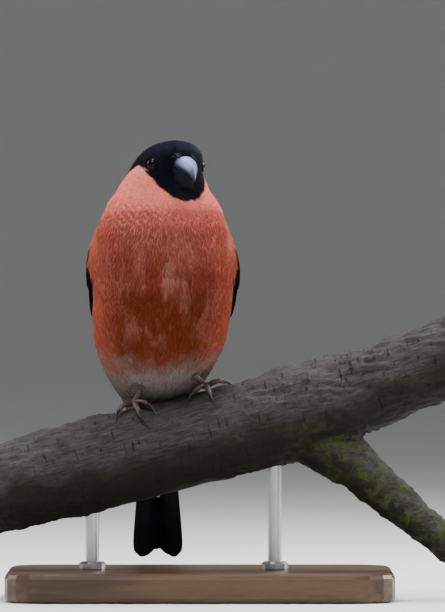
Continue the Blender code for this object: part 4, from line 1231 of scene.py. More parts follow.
def wing_colours(tier, look, chance):
    """Colouring of one feather of a tier."""
    dark = np.array(look.flight) * chance.uniform(0.85, 1.15)
    grey = np.array(look.mantle) * chance.uniform(0.92, 1.08)
    bar = np.array(look.wing_bar) * chance.uniform(0.94, 1.04)

    def colour(share, line):
        base = np.broadcast_to(dark, share.shape + (3,))
        if tier == "greater_covert":
            return lerp(base, bar, ease(share + 0.03 * line, 0.60, 0.70)[..., None])
        if tier == "median_covert":
            return lerp(grey * 0.8, grey, share[..., None])
        if tier == "primary":
            edge = ease(line, 0.9, 0.99) * ease(share, 0.3, 0.5) * ease(share, 0.95, 0.8)
            return lerp(base, np.array(look.feather_edge), 0.5 * edge[..., None])
        return lerp(base * 0.8, base, share[..., None])

    return colour


def make_wing(label, side, sizes, look, finish):
    """All the blades of a folded wing."""
    chance = np.random.default_rng(sizes.seed + 31)
    parts = []
    for tier, count, root_a, root_b, tip_a, tip_b, wide_a, wide_b, lift, stand in WING_TIERS:
        form = LONG_FORM if tier in LONG_TIERS else COVERT_FORM
        for i in range(count):
            t = i / (count - 1)
            root = lerp(np.array(root_a), np.array(root_b), t)
            tip = lerp(np.array(tip_a), np.array(tip_b), t) + (chance.uniform(-0.5, 0.5),
                                                               chance.uniform(-0.6, 0.6))
            width = lerp(wide_a, wide_b, t)
            low = lift * lerp(WING_EDGE_LIFT, 1.0, t) + 0.02 * (i % 3)
            parts.append(vane(wing_place(side, root, tip, width, low, stand), width, form,
                              wing_colours(tier, look, chance), 0.3, len(parts)))
    settle(feather_piece("wing_plumage_" + label, parts), finish, "flight_feathers",
           "wing_" + label)


def lesser_coverts(label, side, sizes, look, shapes, finish):
    """Small grey feathers over the arm of a folded wing."""
    chance = np.random.default_rng(sizes.seed + 5)
    count = sizes.lesser_coverts
    high, share = strewn(count)
    z = lerp(*ARM_HEIGHTS, high)
    first, last = read_rows(WING_CORE_ROWS, z)
    angle = lerp(first - 1, last + 2, share)
    dome = np.sqrt(np.clip(1 - (2 * share - 1) ** 2, 0, 1)) * ease(z, 62.5, 56)
    lift = np.maximum(wing_floor(z) + 0.2 + WING_CORE_THICKNESS * dome * 0.85, -0.6)
    here = body_point(z, np.radians(angle), lift)
    above = here + unit(body_point(z, np.radians(angle), lift + 1) - here)
    lower = body_point(z - 2, np.radians(angle + 1.0), lift)
    points, top, low = (mirrored(part, side) for part in (here, above, lower))
    out = unit(top - points)
    size = np.interp(z, (36, 50, 62), (5.4, 4.6, 3.6)) * chance.uniform(0.9, 1.1, count)
    colour = painted(np.array(look.mantle), look.shoulder, ease(angle, 8, -6) * 0.6)
    colour = colour * chance.normal(1, 0.06, (count, 1))
    spot = map_spot(0.01 + 0.98 * share, 0.01 + 0.98 * high)
    roots = {"points": points - out * 0.25, "up": out, "lie": unit(low - points), "size": size,
             "tint": np.clip(colour, 0, 1), "spot": spot}
    inputs = planting(sizes, 0.55, 0.10, 0.03, 0.12)
    settle(planted("lesser_coverts_" + label, roots, shapes, inputs, finish), None,
           "flight_feathers")


def make_wings(sizes, look):
    finish = vane_finish("flight_vanes", sizes, look, 0.42)
    soft = plumage_finish("wing_covert_plumage", look, 0.6, 0.7, 0.12)
    tufts = shape_set("covert", [tuft_shape(6, seed, 0.7, 0.05) for seed in (13, 14, 15)])
    for label, side in SIDES:
        make_wing(label, side, sizes, look, finish)
        lesser_coverts(label, side, sizes, look, tufts, soft)
    drop_shapes(tufts)


def tail_place(root, tip):
    """Places of a tail feather's blade, from its root to its tip."""

    def place(share, across, height):
        along = lerp(root[0], tip[0], share)
        sideways = lerp(root[1], tip[1], share) + across
        level = lerp(root[2], tip[2], share) - TAIL_ARCH * sideways ** 2
        return tail_point(along, sideways, level + height)

    return place


def make_tail(sizes, look):
    """Tail feathers in pairs, their coverts above and below, and the tail's root."""
    chance = np.random.default_rng(sizes.seed + 17)
    parts = []
    reach = TAIL_HALF_WIDTH - TAIL_FEATHER_WIDTH / 2
    for pair in range(TAIL_PAIRS):
        share = pair / (TAIL_PAIRS - 1)
        across = lerp(TAIL_SECOND_ACROSS, reach, (pair - 1) / (TAIL_PAIRS - 2)) if pair else 0.7
        short = TAIL_NOTCH * (1 - share) ** 2 + TAIL_CORNER * (pair == TAIL_PAIRS - 1)
        for side in (1, -1):
            level = TAIL_TOP_LEVEL - TAIL_LAYER * pair + side * (0.28 if pair == 0 else 0.04)
            dark = np.array(look.flight) * chance.uniform(0.85, 1.15)
            root = (7.0, side * across * 0.5, level)
            tip = (TAIL_LENGTH - short + chance.uniform(-0.3, 0.2), side * across, level)
            parts.append(vane(tail_place(root, tip), TAIL_FEATHER_WIDTH, TAIL_FORM, plain(dark),
                              0.4, len(parts)))
    for start, end, root_level, tip_level, colour in TAIL_COVERTS:
        for i in range(TAIL_COVERT_COUNT):
            across = lerp(-4.6, 4.6, i / (TAIL_COVERT_COUNT - 1))
            step = TAIL_LAYER * 0.6 * (i % 2) * (1 if tip_level > 0 else -1)
            root = (start, across * 0.7, root_level)
            tip = (end - abs(across) * 0.8 + chance.uniform(-0.6, 0.6), across, tip_level + step)
            shade = np.array(getattr(look, colour)) * chance.uniform(0.92, 1.06)
            parts.append(vane(tail_place(root, tip), 5.2, COVERT_FORM, plain(shade), 0.25,
                              len(parts)))
    settle(feather_piece("tail_plumage", parts), vane_finish("tail_vanes", sizes, look, 0.38),
           "flight_feathers", "tail")
    turn = np.linspace(0, 2 * math.pi, 24, endpoint=False)
    core = [tail_point(along, half * np.cos(turn), middle + deep * np.sin(turn))
            for along, half, deep, middle in TAIL_CORE]
    item = make_mesh("tail_root", *tube(core))
    set_field(item.data, "tint", np.tile((*look.flight, 1.0), (len(item.data.vertices), 1)))
    settle(item, plumage_finish("tail_root_down", look, 1.0, 0.7, 0.1), "flight_feathers")


# Head details
def horn_finish(name, base, edge, tip, specular):
    finish = Finish(name, Specular_IOR_Level=specular)
    along = finish.attribute("along")
    rise = finish.attribute("rise")
    grain = finish.noise(0.5, 4.0, finish.place((1, 3, 1)))
    blotch = finish.noise(1.8, 2.0)
    # On the upper bill this paints a pale blue highlight along the top, where light from above falls;
    # its edges keep the bill's own black.
    colour = finish.mix(rise.within(0.15, 0.8), edge, base)
    colour = finish.mix(along.within(0.55, 1.0), colour, tip)
    colour = finish.shaded(colour, (0.7 + 0.45 * grain) * (0.85 + 0.3 * blotch))
    return finish.done(colour, grain.within(0.2, 0.8, 0.36, 0.48), grain + blotch * 0.5, 0.05)


def mandible(name, top_rows, bottom_rows, width_rows, lift, hook, ridge):
    """Half of the bill: an arch over its cutting edge, closed below."""
    base, end = top_rows[0][0], top_rows[-1][0]
    start = base - 3.0
    turn = np.linspace(0, math.pi, 25)
    rise = np.sin(turn) ** ridge
    rings, along = [], []
    for here in start + (end - start) * np.sin(np.linspace(0, math.pi / 2, 30)) ** 0.9:
        top, bottom, half = (smooth_table(rows, max(here, base))[0]
                             for rows in (top_rows, bottom_rows, width_rows))
        bottom = bottom + lift
        bend = hook * ease(here, end - 2.5, end)
        arch = head_point(here, lerp(bottom, top, rise) - bend, half * np.cos(turn))
        flat = head_point(here, bottom + 0.25 * (top - bottom) * np.array((0.3, 0.5, 0.3)) - bend,
                          half * np.array((-0.6, 0.0, 0.6)))
        rings.append(np.concatenate((arch, flat)))
        along.append((here - base) / (end - base))
    points, faces = tube(rings)
    # rise, the height up the arch, places the painted highlight on the upper bill's top.
    rise_here = np.tile(np.concatenate((rise, np.zeros(3))), len(rings))
    fields = {"along": ring_field(along, len(rings[0]), (0, 1)),
              "rise": np.concatenate((rise_here, (0.5, 0.5)))}
    return make_mesh(name, points, faces, fields)


def make_bill(look):
    """Both halves of the bill."""
    upper = mandible("bill_upper_horn", CULMEN, TOMIUM, BILL_HALF_WIDTH, 0.0, 0.5, 1.2)
    # The upper bill's finish carries a painted pale blue highlight on its top.
    settle(upper, horn_finish("bill_horn_upper", look.bill, look.bill_edge, look.bill_tip, 0.3),
           "bill_horn", "bill_upper")
    lower = mandible("bill_lower_horn", CHIN, TOMIUM, CHIN_HALF_WIDTH, -0.32, 0.0, 0.85)
    settle(lower, horn_finish("bill_horn_lower", look.bill_lower, look.bill_lower, look.bill_edge,
                              0.03), "bill_horn", "bill_lower")


def make_bristles(sizes, look):
    """Bristles at the root of the bill, over the nostrils."""
    hairs = shape_set("bristle", [hair_shape(seed) for seed in (1, 2, 3)])
    chance = np.random.default_rng(sizes.seed + 2)
    points, lies, ups = [], [], []
    for label, side in SIDES:
        for i in range(sizes.bristles):
            rise, out = chance.uniform(3.6, 7.6), chance.uniform(1.6, 4.6)
            ahead = 9.6 + 0.25 * (7.6 - rise) + chance.uniform(-0.6, 0.4)
            points.append(head_point(ahead, rise, side * out))
            lie = FORWARD + UP * chance.uniform(-0.35, 0.25) + LEFT * side * chance.uniform(-0.1, 0.5)
            lies.append(unit(lie))
            ups.append(unit(UP + LEFT * side * 0.8))
    count = len(points)
    # Painted highlights: a share of the black bristles take a pale blue-grey for the light on them.
    tint = painted(np.array(look.cap), look.bristle, chance.uniform(0, 1, count) ** 1.5)
    roots = {"points": np.array(points), "up": np.array(ups), "lie": np.array(lies), "tint": tint,
             "size": chance.uniform(1.0, 1.9, count),
             "spot": map_spot(chance.uniform(0.1, 0.9, count), chance.uniform(0.1, 0.9, count))}
    piece = planted("nasal_bristles", roots, hairs, planting(sizes, 1.0, 0.05, 0.12, 0.2),
                    plumage_finish("bristles", look, 0.9, 0.5, 0.1))
    settle(piece, None, "cap_plumage")
    drop_shapes(hairs)


def eye_finish(look):
    """Glossy eye: black pupil, dark iris with fine rays."""
    finish = Finish("eye_brown", Specular_IOR_Level=0.12)
    ring = finish.attribute("ring")
    rays = finish.noise(0.35, 3.0)
    iris = finish.shaded(finish.mix(ring.within(0.45, 0.95), look.iris, look.iris_edge),
                         0.7 + 0.6 * rays)
    return finish.done(finish.mix(ring.within(0.50, 0.56), look.pupil, iris),
                       ring.within(0.8, 1.2, 0.06, 0.2))


def lid_finish(look):
    finish = Finish("lid_skin", Specular_IOR_Level=0.03)
    wrinkle = finish.noise(0.25, 3.0)
    return finish.done(finish.mix(wrinkle, look.lid, look.cap),
                       wrinkle.within(0.2, 0.8, 0.4, 0.6), wrinkle, 0.06)


def make_eyes(look):
    """Eyeballs with a slightly swollen front, and the rolls of the lids round them."""
    glossy, skin = eye_finish(look), lid_finish(look)
    tilts = np.linspace(0.02, math.pi - 0.02, 36)
    turn = np.linspace(0, 2 * math.pi, 48, endpoint=False)[:, None]
    roll = np.linspace(0, 2 * math.pi, 10, endpoint=False)[:, None]
    for label, side in SIDES:
        axis, place = EYES[label]
        across = unit(np.cross(axis, (0.0, 0.0, 1.0)))
        upward = np.cross(across, axis)
        centre = place - axis * (EYE_RADIUS - EYE_PROUD + EYE_SET_BACK)
        out = across * np.cos(turn) + upward * np.sin(turn)
        rings = [centre + axis * math.cos(tilt) * (EYE_RADIUS + 0.12 * math.exp(-(tilt / 0.55) ** 2))
                 + out * math.sin(tilt) * EYE_RADIUS for tilt in tilts]
        points, faces = tube(rings)
        fields = {"ring": ring_field(tilts / math.radians(62), len(turn), (0, 3))}
        settle(make_mesh("eyeball_" + label, points, faces, fields), glossy, "eye", "eye_" + label)
        rings = []
        for angle in np.linspace(0, 2 * math.pi, 56, endpoint=False):
            out = across * math.cos(angle) + upward * math.sin(angle)
            thick = LID_ROLL * (1 + 0.10 * math.sin(angle * 19) + 0.07 * math.sin(angle * 31 + 1))
            reach = LID_RADIUS - LID_INSET + 0.12 * math.cos(2 * angle)
            rings.append(place - axis * (0.1 + EYE_SET_BACK) + out * reach
                         + (out * np.cos(roll) + axis * np.sin(roll)) * thick)
        lid = make_mesh("eyelid_" + label, *tube(rings, closed=True))
        settle(lid, skin, "cap_plumage")


# Legs, toes and claws
def foot_pad(label):
    x, angle = TOES[label]["pad"]
    return branch_point(x, angle, TOE_STAND)


def toe_path(label, name):
    """Points of one toe from the pad to the root of its claw."""
    pad_x, pad_angle = TOES[label]["pad"]
    (shift_root, _), (angle_root, _) = TOES[label][name]
    arch = 1.0 if name == "hallux" else 1.5
    path = [foot_pad(label)]
    for share, lift in ((0.35, arch * 0.6), (0.75, arch * 0.9), (1.0, arch * 0.6)):
        angle = lerp(pad_angle, angle_root, share)
        path.append(branch_point(pad_x + shift_root * share, angle, TOE_STAND + lift))
    return spline(path, 40)


def claw_path(label, name, toe):
    """Arched path of a claw from inside the toe's end to its tip."""
    pad_x = TOES[label]["pad"][0]
    (_, shift_tip), (_, angle_tip) = TOES[label][name]
    ahead = unit(toe[-1] - toe[-3])
    root = toe[-1] - ahead * 0.5
    tip = branch_point(pad_x + shift_tip, angle_tip, CLAW_TIP_STAND)
    reach = np.linalg.norm(tip - root)
    return spline([root, root + ahead * reach * CLAW_ARCH, tip], 22)


def scuted(path, radii, sides, scutes):
    """Tube whose upper side carries overlapping scutes, with its fields."""
    share = np.linspace(0, 1, len(path))
    saw = (share * scutes) % 1
    turn = np.linspace(0, 2 * math.pi, sides, endpoint=False)
    upper = ease(np.sin(turn), -0.2, 0.5)
    pads = 0.07 * np.maximum(0, -np.sin(turn))[None, :] * np.sin(share * math.pi * 5)[:, None] ** 2
    step = (saw * 0.11 - 0.03)[:, None] * upper[None, :]
    points, faces = tube(path_rings(path, np.asarray(radii)[:, None] * (1 + step + pads), sides))
    return points, faces, {"scute": ring_field(saw, sides, (0, 0))}


def leg_finish(look):
    finish = Finish("leg_scutes", Coat_Weight=0.12, Coat_Roughness=0.35, Specular_IOR_Level=0.5)
    scute = finish.attribute("scute")
    grain = finish.noise(0.45, 3.0)
    groove = scute.within(0.0, 0.16, 1.0, 0.0)
    colour = finish.mix(grain, look.leg, look.leg_dark)
    colour = finish.mix(groove * 0.6, colour, look.leg_dark)
    return finish.done(colour, grain.within(0.2, 0.8, 0.42, 0.6), grain - groove * 0.6, 0.05)


def claw_finish(look):
    finish = Finish("claw_horn", Coat_Weight=0.05, Coat_Roughness=0.2, Specular_IOR_Level=0.25)
    along = finish.attribute("along")
    grain = finish.noise(0.3, 3.0, finish.place((1, 1, 2.5)))
    colour = finish.mix(along.within(0.0, 0.5), look.claw_root, look.claw)
    return finish.done(finish.shaded(colour, 0.75 + 0.5 * grain), grain.within(0.2, 0.8, 0.24, 0.36),
                       grain, 0.03)


def make_claw(label, digit, toe, horn):
    claw = claw_path(label, digit, toe)
    share = np.linspace(0, 1, len(claw))
    sides = 14
    points, faces = tube(path_rings(claw, CLAW_ROOT_RADIUS * 1.1 * (1 - share ** 1.5) + 0.05, sides))
    fields = {"along": ring_field(share, sides, (0, 1))}
    settle(make_mesh("nail_{}_{}".format(label, digit), points, faces, fields), horn, "claw_horn",
           "claw_{}_{}".format(label, digit))


def make_legs(look):
    """Tarsi, toes and claws of both feet."""
    skin, horn = leg_finish(look), claw_finish(look)
    for label, side in SIDES:
        top, end = thigh_axis(label)
        pad = foot_pad(label)
        ankle = pad + unit(end - pad) * (TOE_RADIUS + ANKLE_RISE)
        knee = end + (end - top) * 0.02
        path = spline([knee - (end - top) * 0.12, knee, lerp(knee, ankle, 0.5), ankle,
                       pad + (ankle - pad) * 0.25], 60)
        radii = np.interp(np.linspace(0, 1, len(path)), (0, 0.3, 0.6, 0.86, 1.0),
                          (1.0, 0.93, 0.86, 1.02, 1.12)) * TARSUS_RADIUS
        settle(make_mesh("tarsus_scutes_" + label, *scuted(path, radii, 20, 7)), skin, "leg_skin",
               "tarsus_" + label)
        parts = []
        for digit in DIGITS:
            toe = toe_path(label, digit)
            share = np.linspace(0, 1, len(toe))
            knuckles = (1 + 0.10 * np.exp(-((share - 0.45) / 0.09) ** 2)
                        + 0.08 * np.exp(-((share - 0.80) / 0.08) ** 2))
            radii = TOE_RADIUS * lerp(1.12, 0.78, share) * knuckles
            parts.append(scuted(toe, radii, 18, 9 if digit == "middle" else 7))
            make_claw(label, digit, toe, horn)
        ball = spline([pad - (ankle - pad) * 0.5, pad, pad + (ankle - pad) * 0.6], 12)
        radii = np.interp(np.linspace(0, 1, len(ball)), (0, 0.3, 1), (0.4, 1.15, 1.0))
        parts.append(scuted(ball, radii, 18, 1.0))
        settle(make_mesh("toes_" + label, *join_parts(parts)), skin, "leg_skin", "foot_" + label)


# Perch
def foot_calm(x):
    """Share of the bark's relief that stays at distances along the branch: less under the feet."""
    return np.minimum(1.0, np.abs(x - 3.0) / 25.0) ** 2


def bark_relief(points, fork_gap):
    """Height of the bark over its round form, with folds that run round the fork."""
    long_way = points * (0.16, 1.0, 1.0)
    relief = 0.45 * flow_noise(points, 8.0, 11.0) + 0.85 * flow_noise(long_way, 2.0, 12.0)
    relief += 0.32 * flow_noise(points, 1.2, 13.0)
    for x, z, size, height in KNOTS:
        away = np.hypot(points[:, 0] - x, points[:, 2] - z) / size
        relief += height * np.exp(-away ** 2) * (0.4 + 0.6 * np.cos(away * 7.0)) * (points[:, 1] < 2)
    folds = np.sin(fork_gap * 2.4 + 1.2 * flow_noise(points, 6.0, 14.0))
    near_fork = np.exp(-((points[:, 0] - FORK_X) / 14.0) ** 2) * ease(fork_gap, 12.0, 3.0)
    relief += 0.7 * folds * near_fork
    return relief * lerp(0.4, 1.0, foot_calm(points[:, 0]))


def bark_finish(look):
    """Bark streaked along the branch, cracked across and green at the fork, with a painted highlight
    on top and painted shade below.
    """
    finish = Finish("bark", Specular_IOR_Level=0.2)
    turn = (0, BARK_SLANT, 0)
    streak = finish.noise(0.75, 5.0, finish.place((8, 1, 1), turn), 0.65)
    crack = finish.noise(3.0, 4.0, finish.place((0.35, 2.2, 2.2), turn), 0.6)
    blotch = finish.noise(4.0, 6.0, finish.place((2.4, 1, 1), turn), 0.70)
    fine = finish.noise(0.45, 5.0, None, 0.65)
    moss = finish.noise(4.0, 5.0, None, 0.7)
    low = finish.attribute("low")
    green = finish.attribute("green")
    shown = low + (blotch - 0.5) * 1.1
    # Painted highlight: pale lilac-grey on the top of the bark, where the light from above falls.
    lit = shown.within(-0.15, 0.55, 1.0, 0.0) * fine.within(0.30, 0.60, 0.45, 1.0)
    colour = finish.mix(lit, look.bark, look.bark_painted_highlight)
    colour = finish.mix(streak.within(0.46, 0.70, 0.0, 0.75), colour, look.bark_dark_and_painted_shade)
    # Pale lichen streaks, shown only within the painted top highlight.
    colour = finish.mix(streak.within(0.46, 0.28, 0.0, 0.5) * lit, colour, look.lichen)
    colour = finish.mix(crack.within(0.63, 0.70, 0.0, 0.8), colour, look.bark_dark_and_painted_shade)
    colour = finish.mix(moss.within(0.45, 0.62, 0.0, 0.85) * green, colour, look.moss)
    colour = finish.mix(fine.within(0.55, 0.75, 0.0, 0.6), colour, look.bark_dark_and_painted_shade)
    # Painted shade: darker on the underside.
    colour = finish.mix(low.within(0.4, 1.0, 0.0, 0.6), colour, look.bark_dark_and_painted_shade)
    rough = fine.within(0.2, 0.8, 0.62, 0.85)
    height = streak * 0.45 + fine * 0.35 + moss * 0.3 - crack.within(0.61, 0.72, 0.0, 0.8)
    return finish.done(colour, rough, height, 0.9)


def cut_finish(look):
    finish = Finish("cut_wood", Specular_IOR_Level=0.3)
    out = finish.attribute("out")
    wobble = finish.noise(2.5, 2.0)
    rings = finish.add("ShaderNodeMath", {"operation": "SINE"}, ((out + wobble * 0.25) * 46.0,))
    grain = finish.noise(0.5, 4.0)
    colour = finish.mix(rings.within(0.1, 0.9), look.cut_pale, look.cut_dark)
    colour = finish.mix(out.within(0.9, 0.97), finish.shaded(colour, 0.8 + 0.4 * grain),
                        look.bark_dark_and_painted_shade)
    return finish.done(colour, grain.within(0.2, 0.8, 0.6, 0.8), rings * 0.5 + grain, 0.12)


def branch_rings():
    """Rings of the branch with its swellings."""
    x = np.linspace(BRANCH_LEFT, BRANCH_RIGHT, 340)[:, None]
    angle = np.linspace(0, 360, 120, endpoint=False)[None, :]
    turn = np.radians(angle)
    swell = 0.35 * np.sin(x * 0.16 + 2 * turn) + 0.25 * np.sin(x * 0.31 - 3 * turn + 1.0)
    knot = 1.6 * np.exp(-((x - 52.0) / 10.0) ** 2) * np.maximum(0, np.cos(turn - 2.4)) ** 2
    return branch_point(x, angle, foot_calm(x) * swell + knot)


def shoot_line():
    """Path and radii of the side shoot."""
    rows = [(i, *row) for i, row in enumerate(SHOOT_AXIS)]
    read = smooth_table(rows, np.linspace(-0.15, len(SHOOT_AXIS) - 1, 130))
    return read[:, :3], read[:, 3] + 0.25 * np.sin(np.linspace(0, 21, len(read)))


def roughen(mesh, path, radii):
    """Softens the fork's seam, lays the bark's relief over the form, and stores how far the bark
    faces down, for its painted top highlight and underside shade, and where it is green. path and
    radii are the side shoot's."""
    bm = bmesh.new()
    bm.from_mesh(mesh)
    bm.verts.ensure_lookup_table()
    place = places_of(bm.verts)
    axis, radius = np.moveaxis(smooth_table(BRANCH_AXIS, place[:, 0]), -1, 0)
    gap_main = np.hypot(place[:, 1], place[:, 2] - axis) - radius
    gap_shoot = np.array([np.min(np.linalg.norm(path - p, axis=1) - radii) for p in place])
    near = np.maximum(np.abs(gap_main), np.abs(gap_shoot)) < 2.6
    fork = [bm.verts[i] for i in np.flatnonzero(near)]
    for _ in range(14):
        bmesh.ops.smooth_vert(bm, verts=fork, factor=0.5, use_axis_x=True, use_axis_y=True,
                              use_axis_z=True)
    bm.normal_update()
    place = places_of(bm.verts)
    facing = np.array([tuple(vertex.normal) for vertex in bm.verts])
    relief = bark_relief(place, gap_shoot)
    moved = (place + facing * relief[:, None] + PERCH_TOP) * MM
    for vertex, spot in zip(bm.verts, moved.tolist()):
        vertex.co = spot
    bm.to_mesh(mesh)
    bm.free()
    # How far each point faces down: it places the painted shade below and the painted highlight on
    # top.
    set_field(mesh, "low", ease(-facing[:, 2], -0.35, 0.8))
    set_field(mesh, "green", np.clip(0.12 + 0.9 * ease(gap_shoot, 5.0, 0.5), 0, 1))


def cut_end(ring):
    """Domed sawn face inside the last ring of a branch."""
    middle = ring.mean(0)
    normal = unit(np.cross(ring[0] - middle, ring[len(ring) // 4] - middle))
    normal = normal if normal @ (middle - TRUNK) > 0 else -normal
    layers = [middle + (ring - middle) * share + normal * height for share, height in CUT_PROFILE]
    points, faces = tube(layers)
    shares = [share for share, height in CUT_PROFILE]
    return points, faces, {"out": ring_field(shares, len(ring), (1.0, 0.0))}


def make_perch(look):
    """Branch and side shoot in one piece of bark, and their sawn ends."""
    rings, (path, radii) = branch_rings(), shoot_line()
    shoot_rings = path_rings(path, radii, 84)
    perch = make_mesh("perch", *tube(rings))
    unite(perch, make_mesh("shoot", *tube(shoot_rings)))
    roughen(perch.data, path, radii)
    perch.data.shade_smooth()
    settle(perch, bark_finish(look), "bark", "perch_branch", "perch_side_shoot")
    ends = [cut_end(ring) for ring in (rings[0], rings[-1], shoot_rings[-1])]
    settle(make_mesh("cut_ends", *join_parts(ends)), cut_finish(look), "bark")


def pore_shape():
    """Closed low blister of unit length, sunk a little into the bark."""
    ring = 8
    points = []
    for half, reach, height in ((0.5, 0.5, 0.0), (0.28, 0.34, 0.22)):
        for j in range(ring):
            turn = 2 * math.pi * j / ring
            points.append((half * math.cos(turn), 0.5 + reach * math.sin(turn), height))
    points += [(0.0, 0.5, 0.14), (0.0, 0.5, -0.2)]
    faces = []
    for j in range(ring):
        k = (j + 1) % ring
        faces += [(j, k, k + ring, j + ring), (j + ring, k + ring, 2 * ring), (k, j, 2 * ring + 1)]
    return points, faces, [z * 4 for x, y, z in points]


def lenticels(sizes, look):
    """Small raised pores strewn over the bark."""
    chance = np.random.default_rng(sizes.seed + 8)
    x = chance.uniform(BRANCH_LEFT + 2, BRANCH_RIGHT - 2, sizes.lenticels)
    angle = chance.uniform(-150, 150, sizes.lenticels)
    foot = np.min([np.abs(x - TOES[label]["pad"][0]) for label, side in SIDES], axis=0)
    keep = (foot > 9) | (np.abs(angle) > 75)
    x, angle = x[keep], angle[keep]
    count = len(x)
    points = branch_point(x, angle, -0.15)
    out = unit(branch_point(x, angle, 1.0) - points)
    around = unit(branch_point(x, angle + 3.0) - branch_point(x, angle))
    spot = map_spot(chance.uniform(0, 1, count), chance.uniform(0, 1, count))
    tint = painted(np.array(look.bark_dark_and_painted_shade), look.bark, chance.uniform(0, 1, count))
    roots = {"points": points - around * 0.4, "up": out, "lie": around,
             "size": chance.uniform(0.6, 1.7, count), "tint": tint, "spot": spot}
    finish = Finish("pores", Specular_IOR_Level=0.3)
    grain = finish.noise(0.4, 3.0)
    made = finish.done(finish.shaded(finish.attribute("tint", 0), 0.6 + 0.8 * grain),
                       grain.within(0.2, 0.8, 0.6, 0.85), grain, 0.1)
    pores = shape_set("pore", [pore_shape()])
    settle(planted("bark_pores", roots, pores, planting(sizes, 0.42, 0.0, 0.05, 0.3), made), None,
           "bark")
    drop_shapes(pores)


# Stand
def make_stand(look):
    """Finishes of the stand's own solids."""
    wood = Finish("stand_wood", Coat_Weight=0.15, Coat_Roughness=0.3, Specular_IOR_Level=0.4)
    grain = wood.noise(5.0, 5.0, wood.place((9.0, 1.0, 1.0)), 0.6)
    pores = wood.noise(0.5, 3.0, wood.place((14.0, 1.0, 1.0)))
    colour = wood.mix(grain.within(0.35, 0.65), look.stand_wood, look.stand_wood_dark)
    colour = wood.mix(pores.within(0.56, 0.7, 0.0, 0.6), colour, look.stand_wood_dark)
    wood.done(colour, grain.within(0.2, 0.8, 0.34, 0.48), pores + grain * 0.4, 0.04)
    steel = Finish("stand_steel", Metallic=1.0)
    brushed = steel.noise(0.25, 3.0, steel.place((1.0, 1.0, 9.0)))
    steel.done(steel.mix(brushed, look.steel, look.steel_dark),
               brushed.within(0.2, 0.8, 0.26, 0.42), brushed, 0.01)
    for name, finish in (("stand_base", wood), ("stand_rod_left", steel), ("stand_rod_right", steel)):
        for slot in frame["nodes"][name].material_slots:
            slot.material = finish.made


# Stage
LIT_PLACE = (0.0, -0.005, 0.11)


def make_floor(look):
    """Plain pale floor that curves up all round into a backdrop."""
    turns, level, bend, wall = 96, 5500, 1500, 5500
    profile = [(500.0 * k, 0.0) for k in range(1, 12)]
    for angle in np.radians(range(6, 91, 6)):
        profile.append((level + bend * math.sin(angle), bend - bend * math.cos(angle)))
    profile.append((level + bend, wall))
    angles = np.arange(turns) * 2 * math.pi / turns
    rings = np.array([[(out * math.cos(a), out * math.sin(a), z) for a in angles]
                      for out, z in profile])
    points = np.concatenate([np.zeros((1, 3)), rings.reshape(-1, 3)]) - PERCH_TOP
    faces = [(0, 1 + j, 1 + (j + 1) % turns) for j in range(turns)]
    for near in range(1, 1 + (len(profile) - 1) * turns, turns):
        for j in range(turns):
            k = (j + 1) % turns
            faces.append((near + j, near + turns + j, near + turns + k, near + k))
    item = make_mesh("backdrop", points, faces, turned=False)
    finish = Finish("backdrop_paper", Specular_IOR_Level=0.2)
    grain = finish.noise(40.0, 2.0)
    finish.done(finish.mix(grain, look.floor, tuple(part * 0.97 for part in look.floor)),
                grain.within(0.2, 0.8, 0.75, 0.85))
    item.data.materials.append(finish.made)


def aim(item, target):
    """Turns a light or camera towards a place."""
    way = Vector(target) - item.location
    item.rotation_euler = way.to_track_quat("-Z", "Y").to_euler()


def make_light(name, place, size, power, colour):
    data = bpy.data.lights.new(name, "AREA")
    data.shape = "DISK"
    data.size = size
    data.energy = power
    data.color = colour
    item = shown(name, data)
    item.location = place
    aim(item, LIT_PLACE)


def make_lights(stage):
    """Soft studio light: key and top from above, a rim from each side, a weak fill."""
    pale = (1.0, 1.0, 0.98)
    make_light("key", (-0.16, -0.42, 0.78), 0.34, stage.key_power, (1.0, 0.985, 0.96))
    make_light("top", (0.08, 0.12, 0.78), 0.50, stage.top_power, (0.95, 0.97, 1.0))
    make_light("rim_right", (0.62, 0.22, 0.36), 0.40, stage.rim_power * 1.35, pale)
    make_light("rim_left", (-0.62, 0.24, 0.40), 0.40, stage.rim_power * 0.5, pale)
    make_light("fill", (0.75, -0.9, 0.40), 0.7, stage.fill_power, (1.0, 1.0, 1.0))
    world = bpy.data.worlds.new("studio")
    world.use_nodes = True
    sky = world.node_tree.nodes["Background"]
    sky.inputs["Color"].default_value = (0.93, 0.96, 1.0, 1)
    sky.inputs["Strength"].default_value = stage.sky
    bpy.context.scene.world = world


def make_camera(stage):
    """Camera at the photo's angle and scale."""
    data = bpy.data.cameras.new("view")
    data.sensor_width = 36.0
    data.sensor_fit = "AUTO"
    data.lens = data.sensor_width * stage.camera_distance / (PHOTO_SIZE[1] * stage.pixel)
    data.clip_start = 0.05
    data.clip_end = 30.0
    item = shown("view", data)
    target = Vector((stage.centre_x, -0.012, stage.centre_z))
    rise = stage.camera_rise
    item.location = target + Vector((0, -math.cos(rise), math.sin(rise))) * stage.camera_distance
    aim(item, target)
    bpy.context.scene.camera = item


# Settings
def colour_property(name, text, value):
    return FloatVectorProperty(name=name, description=text, default=value, subtype="COLOR",
                               size=3, min=0.0, max=1.0)


